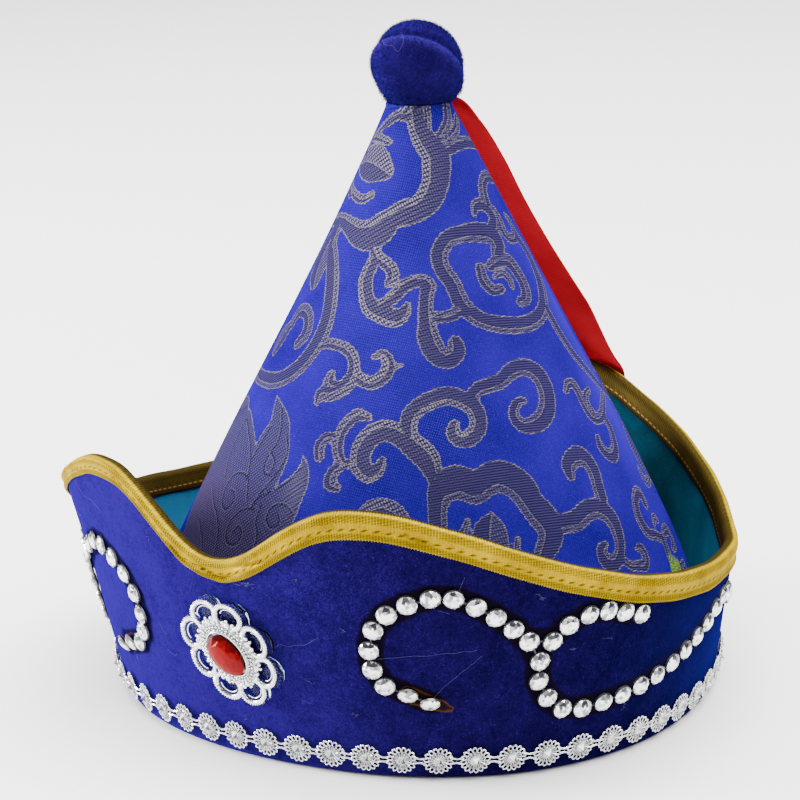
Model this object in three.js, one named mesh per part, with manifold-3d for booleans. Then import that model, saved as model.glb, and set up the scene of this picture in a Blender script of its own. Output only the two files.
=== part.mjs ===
// A Mongolian hat: a tall brocade cone with an upturned velvet brim.
// Millimetres, +Z up. The front of the hat faces -Y, and an angle is counted
// from the front towards +X, in degrees.

import * as THREE from 'three';
import { mergeVertices } from 'three/addons/utils/BufferGeometryUtils.js';
import Module from 'manifold-3d';

const wasm = await Module();
wasm.setup();

// Thicknesses and gaps of the cloth layers
const GAP = 0.3;
const VELVET = 1.3;
const LINING = 1.0;
const CROWN = 1.6;
const BINDING = 1.0;
const LEDGE_DEPTH = 5.6;
const LEDGE = 1.2;

// The gold binding folded over the rim
const BINDING_OUT = 8.2;
const BINDING_IN = 7.4;
const BINDING_NOTCH = 1.9;

// The string of silver rosettes round the foot of the brim
const ROSETTES = 56;
const ROSETTE_RADIUS = 4.5;
const ROSETTE_EDGE = 1.1;
const ROSETTE_POINT = 2.3;
const ROSETTE_HEIGHT = 6.5;
const ROSETTE_FIRST = 4.3;

// The rhinestones of the scrolls
const STONE_RADIUS = 3.05;
const STONE_GIRDLE = 0.8;
const STONE_TOP = 2.3;
const STONE_TABLE = 1.7;
const STONE_SIDES = 8;
const SCROLL_FORK = 13;

// The silver flower at the front and its red stone, tilted as it is sewn on
const FLOWER_HEIGHT = 35.4;
const FLOWER_TILT = -40;
const FLOWER_CORE = [10.2, 7.8];
const PETAL_RADIUS = 4.5;
const PETAL_HOLE = 2.45;
const PETAL_THICK = 1.3;
const CORE_THICK = 1.3;
const CLEAR_BASE = 2.2;
const CLEAR_STANDOFF = 0.5;
const STONE_HALF = [7.2, 5.0];
const STONE_DEPTH = 4.2;

// The velvet ball on the tip
const BALL_CENTRE = [1.9, 1.4, 190.9];
const BALL_RADIUS = 13.6;
const BALL_SQUASH = 0.925;

// The ribbon down the back
const RIBBON = 1.0;

// The brim's wall: radius at the foot, how far it leans out for each
// millimetre of height, and the height of its rim
const BRIM = {
  columns: ['angle', 'foot', 'lean', 'rim'],
  rows: [
    [-180, 88.1, 0.200, 76.4],
    [-165, 88.0, 0.172, 70.5],
    [-150, 89.2, 0.150, 61.5],
    [-135, 91.0, 0.141, 53.0],
    [-120, 92.3, 0.164, 47.3],
    [-105, 92.9, 0.222, 44.9],
    [-90, 93.1, 0.293, 45.5],
    [-75, 93.2, 0.320, 49.8],
    [-60, 93.4, 0.284, 60.4],
    [-50, 93.2, 0.240, 68.4],
    [-42, 92.7, 0.202, 75.8],
    [-36, 92.1, 0.177, 80.8],
    [-30, 91.4, 0.160, 83.9],
    [-24, 90.5, 0.148, 83.2],
    [-18, 89.6, 0.142, 77.1],
    [-12, 88.7, 0.142, 68.7],
    [-7, 88.1, 0.145, 63.8],
    [-3, 87.7, 0.149, 62.6],
    [1, 87.4, 0.156, 63.7],
    [6, 87.2, 0.167, 68.0],
    [12, 87.2, 0.178, 75.4],
    [18, 87.5, 0.190, 81.7],
    [24, 88.2, 0.199, 84.5],
    [30, 89.0, 0.206, 84.3],
    [36, 89.9, 0.213, 81.9],
    [42, 90.8, 0.217, 78.1],
    [50, 92.0, 0.223, 72.4],
    [60, 92.9, 0.228, 64.9],
    [75, 93.4, 0.225, 56.4],
    [90, 93.0, 0.202, 51.8],
    [105, 92.7, 0.165, 49.4],
    [120, 92.7, 0.128, 45.6],
    [135, 92.4, 0.125, 50.7],
    [150, 91.3, 0.157, 58.4],
    [165, 89.6, 0.190, 67.6],
    [180, 88.1, 0.200, 76.4],
  ],
};

// The cone: radius and how far its centre leans aside, by height
const CONE = {
  columns: ['height', 'radius', 'lean'],
  rows: [
    [0, 89.0, 0.0],
    [10, 88.2, 0.6],
    [20, 86.4, 1.2],
    [30, 83.6, 1.7],
    [40, 79.5, 2.1],
    [60, 70.1, 2.6],
    [80, 60.2, 3.0],
    [100, 49.7, 3.2],
    [120, 39.2, 3.4],
    [140, 28.9, 3.4],
    [160, 19.0, 3.2],
    [176, 11.1, 2.8],
    [180, 9.2, 2.6],
  ],
};
const CONE_LEAN = [0.821, 0.571];
const CONE_FOOT = 1.5;
const CONE_TOP = 177.0;
const CONE_SEAM = 26;
const CONE_SEAM_GAP = 3.0;

// The string of rhinestones at the wearer's left, by angle and height
const SCROLL = {
  columns: ['angle', 'height'],
  main: [
    [36.2, 25.5], [32.5, 28.0], [28.7, 30.6], [26.7, 35.7], [26.3, 41.9],
    [27.2, 48.5], [29.5, 53.7], [32.8, 57.1], [36.4, 59.3], [39.9, 59.2],
    [43.3, 56.5], [46.4, 52.9], [49.2, 48.8], [51.8, 44.4], [53.8, 37.6],
    [53.9, 31.1], [55.7, 25.1], [58.6, 20.6], [62.4, 19.4], [66.5, 19.8],
    [70.4, 20.5], [74.3, 21.6], [78.2, 23.0], [82.1, 24.8], [85.8, 26.8],
    [89.4, 29.0], [93.0, 31.4], [96.5, 34.0], [100.2, 35.8], [103.9, 35.0],
    [106.9, 31.8],
  ],
  branch: [
    [55.6, 43.6], [58.1, 48.0], [61.4, 50.3], [64.7, 50.4], [68.0, 48.6],
    [71.5, 46.4],
  ],
};
const MIRROR_SHIFT = 2.2;
const MIRROR_RISE = 0.945;
const MIRROR_DROP = 2.6;

// The flower's petals: where each one's middle lies about the stone
const PETALS = {
  columns: ['turn', 'reach'],
  rows: [
    [20.5, 13.5], [63, 11.3], [117, 11.3], [159.5, 13.5],
    [200.5, 13.5], [243, 11.3], [297, 11.3], [339.5, 13.5],
  ],
};

// The ribbon's middle line at the back, and its half width
const TAIL = {
  columns: ['y', 'z', 'half'],
  rows: [
    [8.6, 178.2, 7.2],
    [13.0, 177.5, 9.0],
    [20.6, 171.5, 10.8],
    [33.4, 157.6, 11.6],
    [44.4, 142.9, 12.1],
    [57.0, 127.8, 12.6],
    [71.6, 111.6, 13.1],
    [86.6, 95.2, 13.5],
    [97.0, 83.0, 13.7],
    [101.0, 78.4, 13.8],
    [104.5, 77.0, 13.8],
    [106.4, 75.2, 13.8],
    [107.2, 71.6, 13.8],
    [107.0, 62.0, 13.8],
    [106.3, 48.0, 13.8],
    [105.6, 34.0, 13.8],
    [105.0, 22.0, 13.8],
  ],
};

const rad = (degrees) => (degrees * Math.PI) / 180;
const mix = (a, b, t) => a + (b - a) * t;
const clamp = (x, low, high) => Math.min(high, Math.max(low, x));
const ease = (t) => t * t * (3 - 2 * t);

// A smooth curve through one column of a table, by its first column
function columnCurve(table, name, loops) {
  const c = table.columns.indexOf(name);
  const xs = table.rows.map((row) => row[0]);
  const ys = table.rows.map((row) => row[c]);
  const n = xs.length;
  const slopes = ys.map((y, i) => {
    const before = i > 0 ? i - 1 : loops ? n - 2 : 0;
    const after = i < n - 1 ? i + 1 : loops ? 1 : n - 1;
    const span = (xs[after] - xs[before] + (loops && (i === 0 || i === n - 1) ? 360 : 0)) || 1;
    return (ys[after] - ys[before]) / span;
  });
  return (x) => {
    let k = 0;
    while (k < n - 2 && x > xs[k + 1]) k += 1;
    const h = xs[k + 1] - xs[k];
    const t = clamp((x - xs[k]) / h, 0, 1);
    const a = ys[k] * (1 + 2 * t) * (1 - t) ** 2 + slopes[k] * h * t * (1 - t) ** 2;
    const b = ys[k + 1] * t * t * (3 - 2 * t) + slopes[k + 1] * h * t * t * (t - 1);
    return a + b;
  };
}

const brimFoot = columnCurve(BRIM, 'foot', true);
const brimLean = columnCurve(BRIM, 'lean', true);
const brimRim = columnCurve(BRIM, 'rim', true);
const coneRadius = columnCurve(CONE, 'radius', false);
const coneLean = columnCurve(CONE, 'lean', false);

const wrapAngle = (angle) => ((((angle + 180) % 360) + 360) % 360) - 180;
const brimRadius = (angle, z) => brimFoot(wrapAngle(angle)) + brimLean(wrapAngle(angle)) * z;

function polar(angle, radius, z) {
  const a = rad(angle);
  return new THREE.Vector3(radius * Math.sin(a), -radius * Math.cos(a), z);
}

// A point on the cone's outside, or `inside` millimetres within it
function conePoint(angle, z, inside) {
  const seam = ease(clamp((CONE_SEAM - z) / (CONE_SEAM - 3), 0, 1));
  const radius = mix(coneRadius(z), brimFoot(wrapAngle(angle)) - CONE_SEAM_GAP, seam);
  const p = polar(angle, radius - inside, z);
  p.x += CONE_LEAN[0] * coneLean(z);
  p.y += CONE_LEAN[1] * coneLean(z);
  return p;
}

function facesToGeometry(points, faces) {
  const geometry = new THREE.BufferGeometry();
  geometry.setAttribute('position', new THREE.Float32BufferAttribute(points.flatMap((p) => [p.x, p.y, p.z]), 3));
  geometry.setIndex(faces.flat());
  return geometry;
}

// A ring made by carrying a closed section round a list of angles. Each patch
// is split along its shorter diagonal, so neighbouring layers bend alike.
function ringGeometry(angles, sectionAt) {
  const sections = angles.map(sectionAt);
  const m = sections[0].length;
  const n = angles.length;
  const faces = [];
  for (let i = 0; i < n; i += 1) {
    const next = (i + 1) % n;
    for (let j = 0; j < m; j += 1) {
      const up = (j + 1) % m;
      const rising = sections[i][j].distanceTo(sections[next][up]);
      const falling = sections[next][j].distanceTo(sections[i][up]);
      if (rising < falling) {
        faces.push([i * m + j, next * m + j, next * m + up], [i * m + j, next * m + up, i * m + up]);
      } else {
        faces.push([i * m + j, next * m + j, i * m + up], [next * m + j, next * m + up, i * m + up]);
      }
    }
  }
  return facesToGeometry(sections.flat(), faces);
}

// A body made by carrying a closed section along a line, closed at both ends
function loftGeometry(sections) {
  const m = sections[0].length;
  const faces = [];
  for (let i = 0; i < sections.length - 1; i += 1) {
    for (let j = 0; j < m; j += 1) {
      const up = (j + 1) % m;
      const a = i * m + j;
      const b = i * m + up;
      faces.push([a, b, b + m], [a, b + m, a + m]);
    }
  }
  const last = (sections.length - 1) * m;
  for (let j = 1; j < m - 1; j += 1) {
    faces.push([0, j + 1, j], [last, last + j, last + j + 1]);
  }
  return facesToGeometry(sections.flat(), faces);
}

function toSolid(geometry) {
  const bare = geometry.clone();
  bare.deleteAttribute('normal');
  bare.deleteAttribute('uv');
  const merged = mergeVertices(bare, 1e-4);
  const mesh = new wasm.Mesh({
    numProp: 3,
    vertProperties: new Float32Array(merged.attributes.position.array),
    triVerts: new Uint32Array(merged.index.array),
  });
  return new wasm.Manifold(mesh);
}

function toGeometry(solid) {
  const mesh = solid.getMesh();
  const geometry = new THREE.BufferGeometry();
  geometry.setAttribute('position', new THREE.Float32BufferAttribute(Array.from(mesh.vertProperties), 3));
  geometry.setIndex(Array.from(mesh.triVerts));
  return geometry;
}

function fuse(geometries) {
  let solid = toSolid(geometries[0]);
  for (const geometry of geometries.slice(1)) {
    solid = solid.add(toSolid(geometry));
  }
  return solid;
}

// Where a piece sits on the outside of the brim: its middle, and a turn whose
// z axis points out of the wall and whose y axis runs up it
function wallPlace(angle, z, standoff) {
  const a = wrapAngle(angle);
  const lean = brimLean(a);
  const out = polar(a, 1, 0).add(new THREE.Vector3(0, 0, -lean)).normalize();
  const up = polar(a, lean, 1).normalize();
  const side = new THREE.Vector3().crossVectors(up, out);
  const matrix = new THREE.Matrix4().makeBasis(side, up, out);
  const middle = polar(a, brimRadius(a, z), z).addScaledVector(out, standoff);
  return matrix.setPosition(middle);
}

// A low prism with a smaller flat top, such as a stone or a bead's head
function prismGeometry(sides, levels, turn) {
  const points = [];
  const faces = [];
  for (const [radius, z] of levels) {
    for (let i = 0; i < sides; i += 1) {
      const a = (2 * Math.PI * (i + turn)) / sides;
      points.push(new THREE.Vector3(radius * Math.cos(a), radius * Math.sin(a), z));
    }
  }
  for (let k = 0; k < levels.length - 1; k += 1) {
    for (let i = 0; i < sides; i += 1) {
      const next = (i + 1) % sides;
      const a = k * sides + i;
      const b = k * sides + next;
      faces.push([a, b, b + sides], [a, b + sides, a + sides]);
    }
  }
  const top = (levels.length - 1) * sides;
  for (let i = 1; i < sides - 1; i += 1) {
    faces.push([0, i + 1, i], [top, top + i, top + i + 1]);
  }
  return facesToGeometry(points, faces);
}

// A string of equal stones or rosettes, each a low prism on the wall, with
// a short bar from the side of one to the side of the next
function stringGeometry(places, links, sides, levels, pointed) {
  const middles = places.map((place) => new THREE.Vector3().setFromMatrixPosition(place));
  const points = [];
  const faces = [];
  const perPiece = sides * levels.length + (pointed ? 1 : 0);
  const bearings = places.map(() => new Map());
  for (const [i, j] of links) {
    for (const [from, to] of [[i, j], [j, i]]) {
      const local = middles[to].clone().applyMatrix4(places[from].clone().invert());
      bearings[from].set(to, Math.atan2(local.y, local.x));
    }
  }
  const openings = places.map((place, index) => {
    const first = bearings[index].values().next().value;
    const step = (2 * Math.PI) / sides;
    const turn = first - step / 2;
    for (const [radius, z] of levels) {
      for (let k = 0; k < sides; k += 1) {
        const a = turn + step * k;
        points.push(new THREE.Vector3(radius * Math.cos(a), radius * Math.sin(a), z).applyMatrix4(place));
      }
    }
    if (pointed) points.push(new THREE.Vector3(0, 0, pointed).applyMatrix4(place));
    const open = new Map();
    for (const [to, bearing] of bearings[index]) {
      open.set(to, ((Math.round((bearing - turn) / step - 0.5) % sides) + sides) % sides);
    }
    return open;
  });
  places.forEach((place, index) => {
    const base = index * perPiece;
    const opened = new Set(openings[index].values());
    for (let level = 0; level < levels.length - 1; level += 1) {
      for (let k = 0; k < sides; k += 1) {
        if (level === 0 && opened.has(k)) continue;
        const a = base + level * sides + k;
        const b = base + level * sides + ((k + 1) % sides);
        faces.push([a, b, b + sides], [a, b + sides, a + sides]);
      }
    }
    const top = base + (levels.length - 1) * sides;
    for (let k = 1; k < sides - 1; k += 1) {
      faces.push([base, base + k + 1, base + k]);
      if (!pointed) faces.push([top, top + k, top + k + 1]);
    }
    for (let k = 0; k < sides && pointed; k += 1) {
      faces.push([top + k, top + ((k + 1) % sides), top + sides]);
    }
  });
  for (const [i, j] of links) {
    const ki = openings[i].get(j);
    const kj = openings[j].get(i);
    const a = i * perPiece;
    const b = j * perPiece;
    const here = [a + ki, a + ((ki + 1) % sides), a + sides + ((ki + 1) % sides), a + sides + ki];
    const there = [b + ((kj + 1) % sides), b + kj, b + sides + kj, b + sides + ((kj + 1) % sides)];
    for (let k = 0; k < 4; k += 1) {
      const next = (k + 1) % 4;
      faces.push([here[k], here[next], there[next]], [here[k], there[next], there[k]]);
    }
  }
  return facesToGeometry(points, faces);
}

// Angles round the ring, close together along the front's notch and peaks
const ringAngles = [];
for (let a = -48; a < 48; a += 4) {
  ringAngles.push(a);
}
for (let i = 0; i < 34; i += 1) {
  ringAngles.push(48 + (264 * i) / 34);
}

const rowsUp = (low, high, count) => Array.from({ length: count + 1 }, (_, i) => mix(low, high, i / count));

function crownGeometry() {
  const heights = [CONE_FOOT, 12, 22, 32, 44, 75, 112, 146, CONE_TOP];
  const count = 36;
  const tip = conePoint(0, CONE_TOP, coneRadius(CONE_TOP));
  const points = [tip];
  const inner = tip.clone();
  inner.z -= CROWN;
  const levels = heights.slice().reverse().map((z) => [z, 0])
    .concat(heights.map((z) => [Math.min(z, CONE_TOP - CROWN), CROWN]));
  for (const [z, inside] of levels) {
    for (let i = 0; i < count; i += 1) {
      points.push(conePoint((360 * i) / count, z, inside));
    }
  }
  points.push(inner);
  const faces = [];
  const ring = (k, i) => 1 + k * count + (i % count);
  for (let i = 0; i < count; i += 1) {
    faces.push([0, ring(0, i), ring(0, i + 1)]);
    for (let k = 0; k < levels.length - 1; k += 1) {
      faces.push([ring(k, i), ring(k + 1, i), ring(k + 1, i + 1)]);
      faces.push([ring(k, i), ring(k + 1, i + 1), ring(k, i + 1)]);
    }
    faces.push([points.length - 1, ring(levels.length - 1, i + 1), ring(levels.length - 1, i)]);
  }
  return facesToGeometry(points, faces);
}

// The velvet wall, with its foot folded in as a ledge that carries the rest
function velvetSection(angle) {
  const a = wrapAngle(angle);
  const top = brimRim(a) - BINDING - GAP;
  const foot = brimRadius(a, 0);
  const rows = [0, (LEDGE + GAP + top) / 2, top];
  const outer = rows.map((z) => polar(a, brimRadius(a, z), z));
  const inner = rows.map((z) => Math.max(z, LEDGE)).reverse()
    .map((z) => polar(a, brimRadius(a, z) - VELVET, z));
  return outer.concat(inner, [polar(a, foot - LEDGE_DEPTH, LEDGE), polar(a, foot - LEDGE_DEPTH, 0)]);
}

function liningSection(angle) {
  const a = wrapAngle(angle);
  const top = brimRim(a) - BINDING - GAP;
  const rows = rowsUp(LEDGE + GAP, top, 2);
  const outer = rows.map((z) => polar(a, brimRadius(a, z) - VELVET - GAP, z));
  const inner = rows.slice().reverse().map((z) => polar(a, brimRadius(a, z) - VELVET - GAP - LINING, z));
  return outer.concat(inner);
}

// The binding: down the outside, over the rim and down the inside
function bindingSection(angle) {
  const a = wrapAngle(angle);
  const rim = brimRim(a);
  const notch = BINDING_NOTCH * Math.exp(-(((a + 3) / 9) ** 2));
  const outside = GAP + BINDING;
  const inside = -(VELVET + GAP + LINING + GAP + BINDING);
  const at = (offset, z) => polar(a, brimRadius(a, z) + offset, z);
  return [
    at(GAP, rim - BINDING_OUT + notch),
    at(outside, rim - BINDING_OUT + notch),
    at(outside - 0.3, rim),
    at(inside + 0.3, rim),
    at(inside, rim - BINDING_IN + notch),
    at(inside + BINDING, rim - BINDING_IN + notch),
    at(inside + BINDING, rim - BINDING),
    at(GAP, rim - BINDING),
  ];
}

// Angles that part the foot of the brim into equal lengths
function evenAngles(count, first) {
  const steps = 720;
  const lengths = [0];
  let last = polar(first, brimRadius(first, ROSETTE_HEIGHT), 0);
  for (let i = 1; i <= steps; i += 1) {
    const angle = first + (360 * i) / steps;
    const p = polar(angle, brimRadius(angle, ROSETTE_HEIGHT), 0);
    lengths.push(lengths[i - 1] + p.distanceTo(last));
    last = p;
  }
  return Array.from({ length: count }, (_, k) => {
    const want = (lengths[steps] * k) / count;
    let i = 0;
    while (lengths[i + 1] < want) i += 1;
    const t = (want - lengths[i]) / (lengths[i + 1] - lengths[i]);
    return first + (360 * (i + t)) / steps;
  });
}

function trimGeometry() {
  const places = evenAngles(ROSETTES, ROSETTE_FIRST)
    .map((angle) => wallPlace(angle, ROSETTE_HEIGHT, GAP + 0.15));
  const links = places.map((_, i) => [i, (i + 1) % ROSETTES]);
  const levels = [[ROSETTE_RADIUS, 0], [ROSETTE_RADIUS, ROSETTE_EDGE]];
  return stringGeometry(places, links, 10, levels, ROSETTE_POINT);
}

function scrollGeometry(side) {
  const placeOf = ([angle, height]) => {
    if (side > 0) return wallPlace(angle, height, GAP + 0.35);
    const across = MIRROR_SHIFT - angle;
    const lower = height * MIRROR_RISE - MIRROR_DROP;
    return wallPlace(across, (lower * brimRim(across)) / brimRim(angle), GAP + 0.35);
  };
  const places = SCROLL.main.concat(SCROLL.branch).map(placeOf);
  const first = SCROLL.main.length;
  const links = [[SCROLL_FORK, first]];
  for (let i = 0; i < places.length - 1; i += 1) {
    if (i !== first - 1) links.push([i, i + 1]);
  }
  const levels = [[STONE_RADIUS, 0], [STONE_RADIUS, STONE_GIRDLE], [STONE_TABLE, STONE_TOP]];
  return stringGeometry(places, links, STONE_SIDES, levels, 0);
}

function ovalPoints(halfX, halfY, count, x, y) {
  return Array.from({ length: count }, (_, i) => {
    const a = (2 * Math.PI * (i + 0.5)) / count;
    return new THREE.Vector2(x + halfX * Math.cos(a), y + halfY * Math.sin(a));
  });
}

function plateGeometry(outline, depth, z) {
  const geometry = new THREE.ExtrudeGeometry(new THREE.Shape(outline), { depth, bevelEnabled: false });
  geometry.translate(0, 0, z);
  return geometry;
}

const petalMiddles = PETALS.rows.map(([turn, reach]) => [reach * Math.cos(rad(turn)), reach * Math.sin(rad(turn)), turn]);

const flowerPlace = (standoff) => wallPlace(0, FLOWER_HEIGHT, standoff)
  .multiply(new THREE.Matrix4().makeRotationZ(rad(FLOWER_TILT)));

// The flower: eight pierced loops round a plate, a bead in each, and the setting
function flowerGeometry() {
  const parts = [plateGeometry(ovalPoints(...FLOWER_CORE, 20, 0, 0), CORE_THICK, 0)];
  const holes = [];
  for (const [x, y] of petalMiddles) {
    parts.push(plateGeometry(ovalPoints(PETAL_RADIUS, PETAL_RADIUS, 12, x, y), PETAL_THICK, 0));
    holes.push(plateGeometry(ovalPoints(PETAL_HOLE, PETAL_HOLE, 8, x * 1.02, y * 1.02), 4, -1));
  }
  let solid = fuse(parts).subtract(fuse(holes));
  for (const [x, y, turn] of petalMiddles) {
    const bead = prismGeometry(6, [[1.3, 0.2], [0.9, 2.4]], 0.5);
    const inward = PETAL_HOLE + 0.7;
    bead.translate(x - inward * Math.cos(rad(turn)), y - inward * Math.sin(rad(turn)), 0);
    solid = solid.add(toSolid(bead));
  }
  const bezel = prismGeometry(18, [[1, 0.4], [1, 2.6]], 0.5);
  bezel.scale(STONE_HALF[0] + 1.3, STONE_HALF[1] + 1.3, 1);
  const seat = prismGeometry(18, [[1, CORE_THICK], [1, 4]], 0.5);
  seat.scale(STONE_HALF[0] + GAP, STONE_HALF[1] + GAP, 1);
  solid = solid.add(toSolid(bezel)).subtract(toSolid(seat));
  return toGeometry(solid).applyMatrix4(flowerPlace(CLEAR_STANDOFF + CLEAR_BASE + GAP));
}

function clearBaseGeometry() {
  const discs = petalMiddles.map(([x, y]) => {
    const outline = ovalPoints(PETAL_RADIUS + 0.2, PETAL_RADIUS + 0.2, 10, x, y);
    return plateGeometry(outline, CLEAR_BASE, 0);
  });
  discs.push(plateGeometry(ovalPoints(...FLOWER_CORE, 12, 0, 0), CLEAR_BASE, 0));
  return toGeometry(fuse(discs)).applyMatrix4(flowerPlace(CLEAR_STANDOFF));
}

function redStoneGeometry() {
  const levels = [[0.95, 0], [1, 1.4], [0.8, 3.0], [0.46, STONE_DEPTH]];
  const stone = prismGeometry(14, levels, 0.5);
  stone.scale(STONE_HALF[0], STONE_HALF[1], 1);
  return stone.applyMatrix4(flowerPlace(CLEAR_STANDOFF + CLEAR_BASE + CORE_THICK + 2 * GAP));
}

function ballGeometry() {
  const ball = new THREE.SphereGeometry(BALL_RADIUS, 16, 10);
  ball.rotateX(Math.PI / 2);
  ball.scale(1, 1, BALL_SQUASH);
  ball.translate(...BALL_CENTRE);
  return toGeometry(toSolid(ball));
}

function ribbonGeometry() {
  const rows = TAIL.rows;
  const sections = rows.map(([y, z, half], i) => {
    const before = rows[Math.max(0, i - 1)];
    const after = rows[Math.min(rows.length - 1, i + 1)];
    const dy = after[0] - before[0];
    const dz = after[1] - before[1];
    const length = Math.hypot(dy, dz);
    const ny = (-dz / length) * RIBBON;
    const nz = (dy / length) * RIBBON;
    const middle = i < 3 ? BALL_CENTRE[0] * (1 - i / 3) : 0;
    return [
      new THREE.Vector3(middle - half, y, z),
      new THREE.Vector3(middle - half, y + ny, z + nz),
      new THREE.Vector3(middle + half, y + ny, z + nz),
      new THREE.Vector3(middle + half, y, z),
    ];
  });
  return loftGeometry(sections);
}

const cloth = (colour, roughness) => new THREE.MeshStandardMaterial({ color: colour, roughness, metalness: 0 });
const metal = (colour) => new THREE.MeshStandardMaterial({ color: colour, roughness: 0.3, metalness: 0.9 });
const glass = (colour) => new THREE.MeshStandardMaterial({ color: colour, roughness: 0.08, metalness: 0.1 });

const pieces = [
  ['crown', crownGeometry(), cloth(0x2f45c8, 0.6)],
  ['brim_velvet', ringGeometry(ringAngles, velvetSection), cloth(0x1f2a9c, 0.95)],
  ['brim_lining', ringGeometry(ringAngles, liningSection), cloth(0x146a90, 0.55)],
  ['brim_binding', ringGeometry(ringAngles, bindingSection), cloth(0xd9ac3a, 0.5)],
  ['rosette_trim', trimGeometry(), metal(0xb8babd)],
  ['scroll_left', scrollGeometry(1), glass(0xd8dce4)],
  ['scroll_right', scrollGeometry(-1), glass(0xd8dce4)],
  ['flower', flowerGeometry(), metal(0xb4b6ba)],
  ['clear_base', clearBaseGeometry(), glass(0xe8eef2)],
  ['red_stone', redStoneGeometry(), glass(0xb01020)],
  ['top_ball', ballGeometry(), cloth(0x16206e, 0.95)],
  ['ribbon', ribbonGeometry(), cloth(0xc01c22, 0.5)],
];

const hat = new THREE.Group();
for (const [name, geometry, material] of pieces) {
  const mesh = new THREE.Mesh(geometry, material);
  mesh.name = name;
  hat.add(mesh);
}

// The origin is under the middle of the whole hat
const bounds = new THREE.Box3().setFromObject(hat);
hat.position.set(-(bounds.min.x + bounds.max.x) / 2, -(bounds.min.y + bounds.max.y) / 2, -bounds.min.z);

export default hat;
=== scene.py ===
import math
import random

import bpy
import numpy as np
from mathutils import Matrix, Vector


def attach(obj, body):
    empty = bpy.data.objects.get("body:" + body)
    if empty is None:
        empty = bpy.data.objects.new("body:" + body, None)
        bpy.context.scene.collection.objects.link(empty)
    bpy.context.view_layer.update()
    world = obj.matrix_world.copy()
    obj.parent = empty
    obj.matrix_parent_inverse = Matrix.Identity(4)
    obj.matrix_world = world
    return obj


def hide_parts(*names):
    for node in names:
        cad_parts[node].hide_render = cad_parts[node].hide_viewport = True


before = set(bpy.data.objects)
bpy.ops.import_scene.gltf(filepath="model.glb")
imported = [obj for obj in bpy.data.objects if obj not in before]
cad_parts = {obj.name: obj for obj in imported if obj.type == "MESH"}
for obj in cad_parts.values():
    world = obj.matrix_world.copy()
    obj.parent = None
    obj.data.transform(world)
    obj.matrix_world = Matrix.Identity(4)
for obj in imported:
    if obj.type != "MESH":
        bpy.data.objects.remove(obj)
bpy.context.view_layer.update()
print("the packed hat is loaded")

mm = 0.001
tau = 2 * math.pi
tiny = 1e-6
random.seed(11)

cameraLook = {
    "spot": (0.42495, -0.61295, 0.29793),
    "right": (0.8209, 0.5707, -0.0209),
    "up": (-0.1399, 0.2364, 0.9615),
    "forward": (-0.5537, 0.7864, -0.2739),
    "lens": 111.96,
}

hat = {
    "middle": (1.515 * mm, -3.083 * mm),  # the middle of the round foot
    "velvetThick": 1.3 * mm,
    "liningThick": 1.0 * mm,
    "gap": 0.3 * mm,
    "ledge": 1.2 * mm,
    "ledgeDepth": 5.6 * mm,
    "bindingThick": 1.0 * mm,
}


# Curves and the brim's wall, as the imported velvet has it

def smoothCurve(xs, ys):
    xs = np.asarray(xs, float)
    ys = np.asarray(ys, float)
    slopes = np.gradient(ys, xs)

    def at(x):
        k = np.clip(np.searchsorted(xs, x, side="right") - 1, 0, len(xs) - 2)
        h = xs[k + 1] - xs[k]
        t = np.clip((x - xs[k]) / h, 0, 1)
        start = ys[k] * (1 + 2 * t) * (1 - t) ** 2 + slopes[k] * h * t * (1 - t) ** 2
        return start + ys[k + 1] * t * t * (3 - 2 * t) + slopes[k + 1] * h * t * t * (t - 1)
    return at


def smoothStep(share):
    share = np.clip(share, 0, 1)
    return share * share * (3 - 2 * share)


def bell(value, centre, spread):
    return np.exp(-((value - centre) / spread) ** 2)


def softRoute(points, count):
    # a smooth way through charted points
    spots = np.array(points, float)
    steps = np.arange(len(spots))
    fine = np.linspace(0, steps[-1], count)
    return np.stack([smoothCurve(steps, row)(fine) for row in spots.T], axis=1)


def wrapDegrees(angle):
    return (np.asarray(angle, float) + 180) % 360 - 180


def loopCurve(angles, values):
    angles = np.concatenate([angles[-4:] - 360, angles, angles[:4] + 360])
    values = np.concatenate([values[-4:], values, values[:4]])
    curve = smoothCurve(angles, values)
    return lambda angle: curve(wrapDegrees(angle))


def readBrim():
    columns = {}
    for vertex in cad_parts["brim_velvet"].data.vertices:
        x = vertex.co.x - hat["middle"][0]
        y = vertex.co.y - hat["middle"][1]
        angle = round(math.degrees(math.atan2(x, -y)), 1)
        columns.setdefault(-180.0 if angle == 180 else angle, []).append((vertex.co.z, math.hypot(x, y)))
    angles = np.array(sorted(columns))
    feet = []
    leans = []
    rims = []
    for angle in angles:
        spots = columns[angle]
        top = max(z for z, r in spots)
        foot = max(r for z, r in spots if z < 0.1 * mm)
        rimRadius = max(r for z, r in spots if z > top - 0.1 * mm)
        feet.append(foot)
        leans.append((rimRadius - foot) / top)
        rims.append(top + hat["bindingThick"] + hat["gap"])
    return [loopCurve(angles, np.array(values)) for values in (feet, leans, rims)]


brimFoot, brimLean, brimRim = readBrim()


def clothTop(angle):
    # where the velvet and the lining end, under the tape
    return brimRim(angle) - hat["bindingThick"] - hat["gap"]


def wallPoints(angle, height, off):
    a = np.radians(angle)
    lean = brimLean(angle)
    slope = np.sqrt(1 + lean ** 2)
    radius = brimFoot(angle) + lean * height + off / slope
    x = hat["middle"][0] + radius * np.sin(a)
    y = hat["middle"][1] - radius * np.cos(a)
    return np.stack([x, y, height - off * lean / slope], axis=-1)


def wallPlace(angle, height, off):
    a = math.radians(angle)
    lean = float(brimLean(angle))
    outward = Vector((math.sin(a), -math.cos(a), -lean)).normalized()
    upward = Vector((lean * math.sin(a), -lean * math.cos(a), 1)).normalized()
    sideways = upward.cross(outward)
    place = Matrix((sideways, upward, outward)).transposed().to_4x4()
    place.translation = Vector(wallPoints(angle, height, off))
    return place


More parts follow.
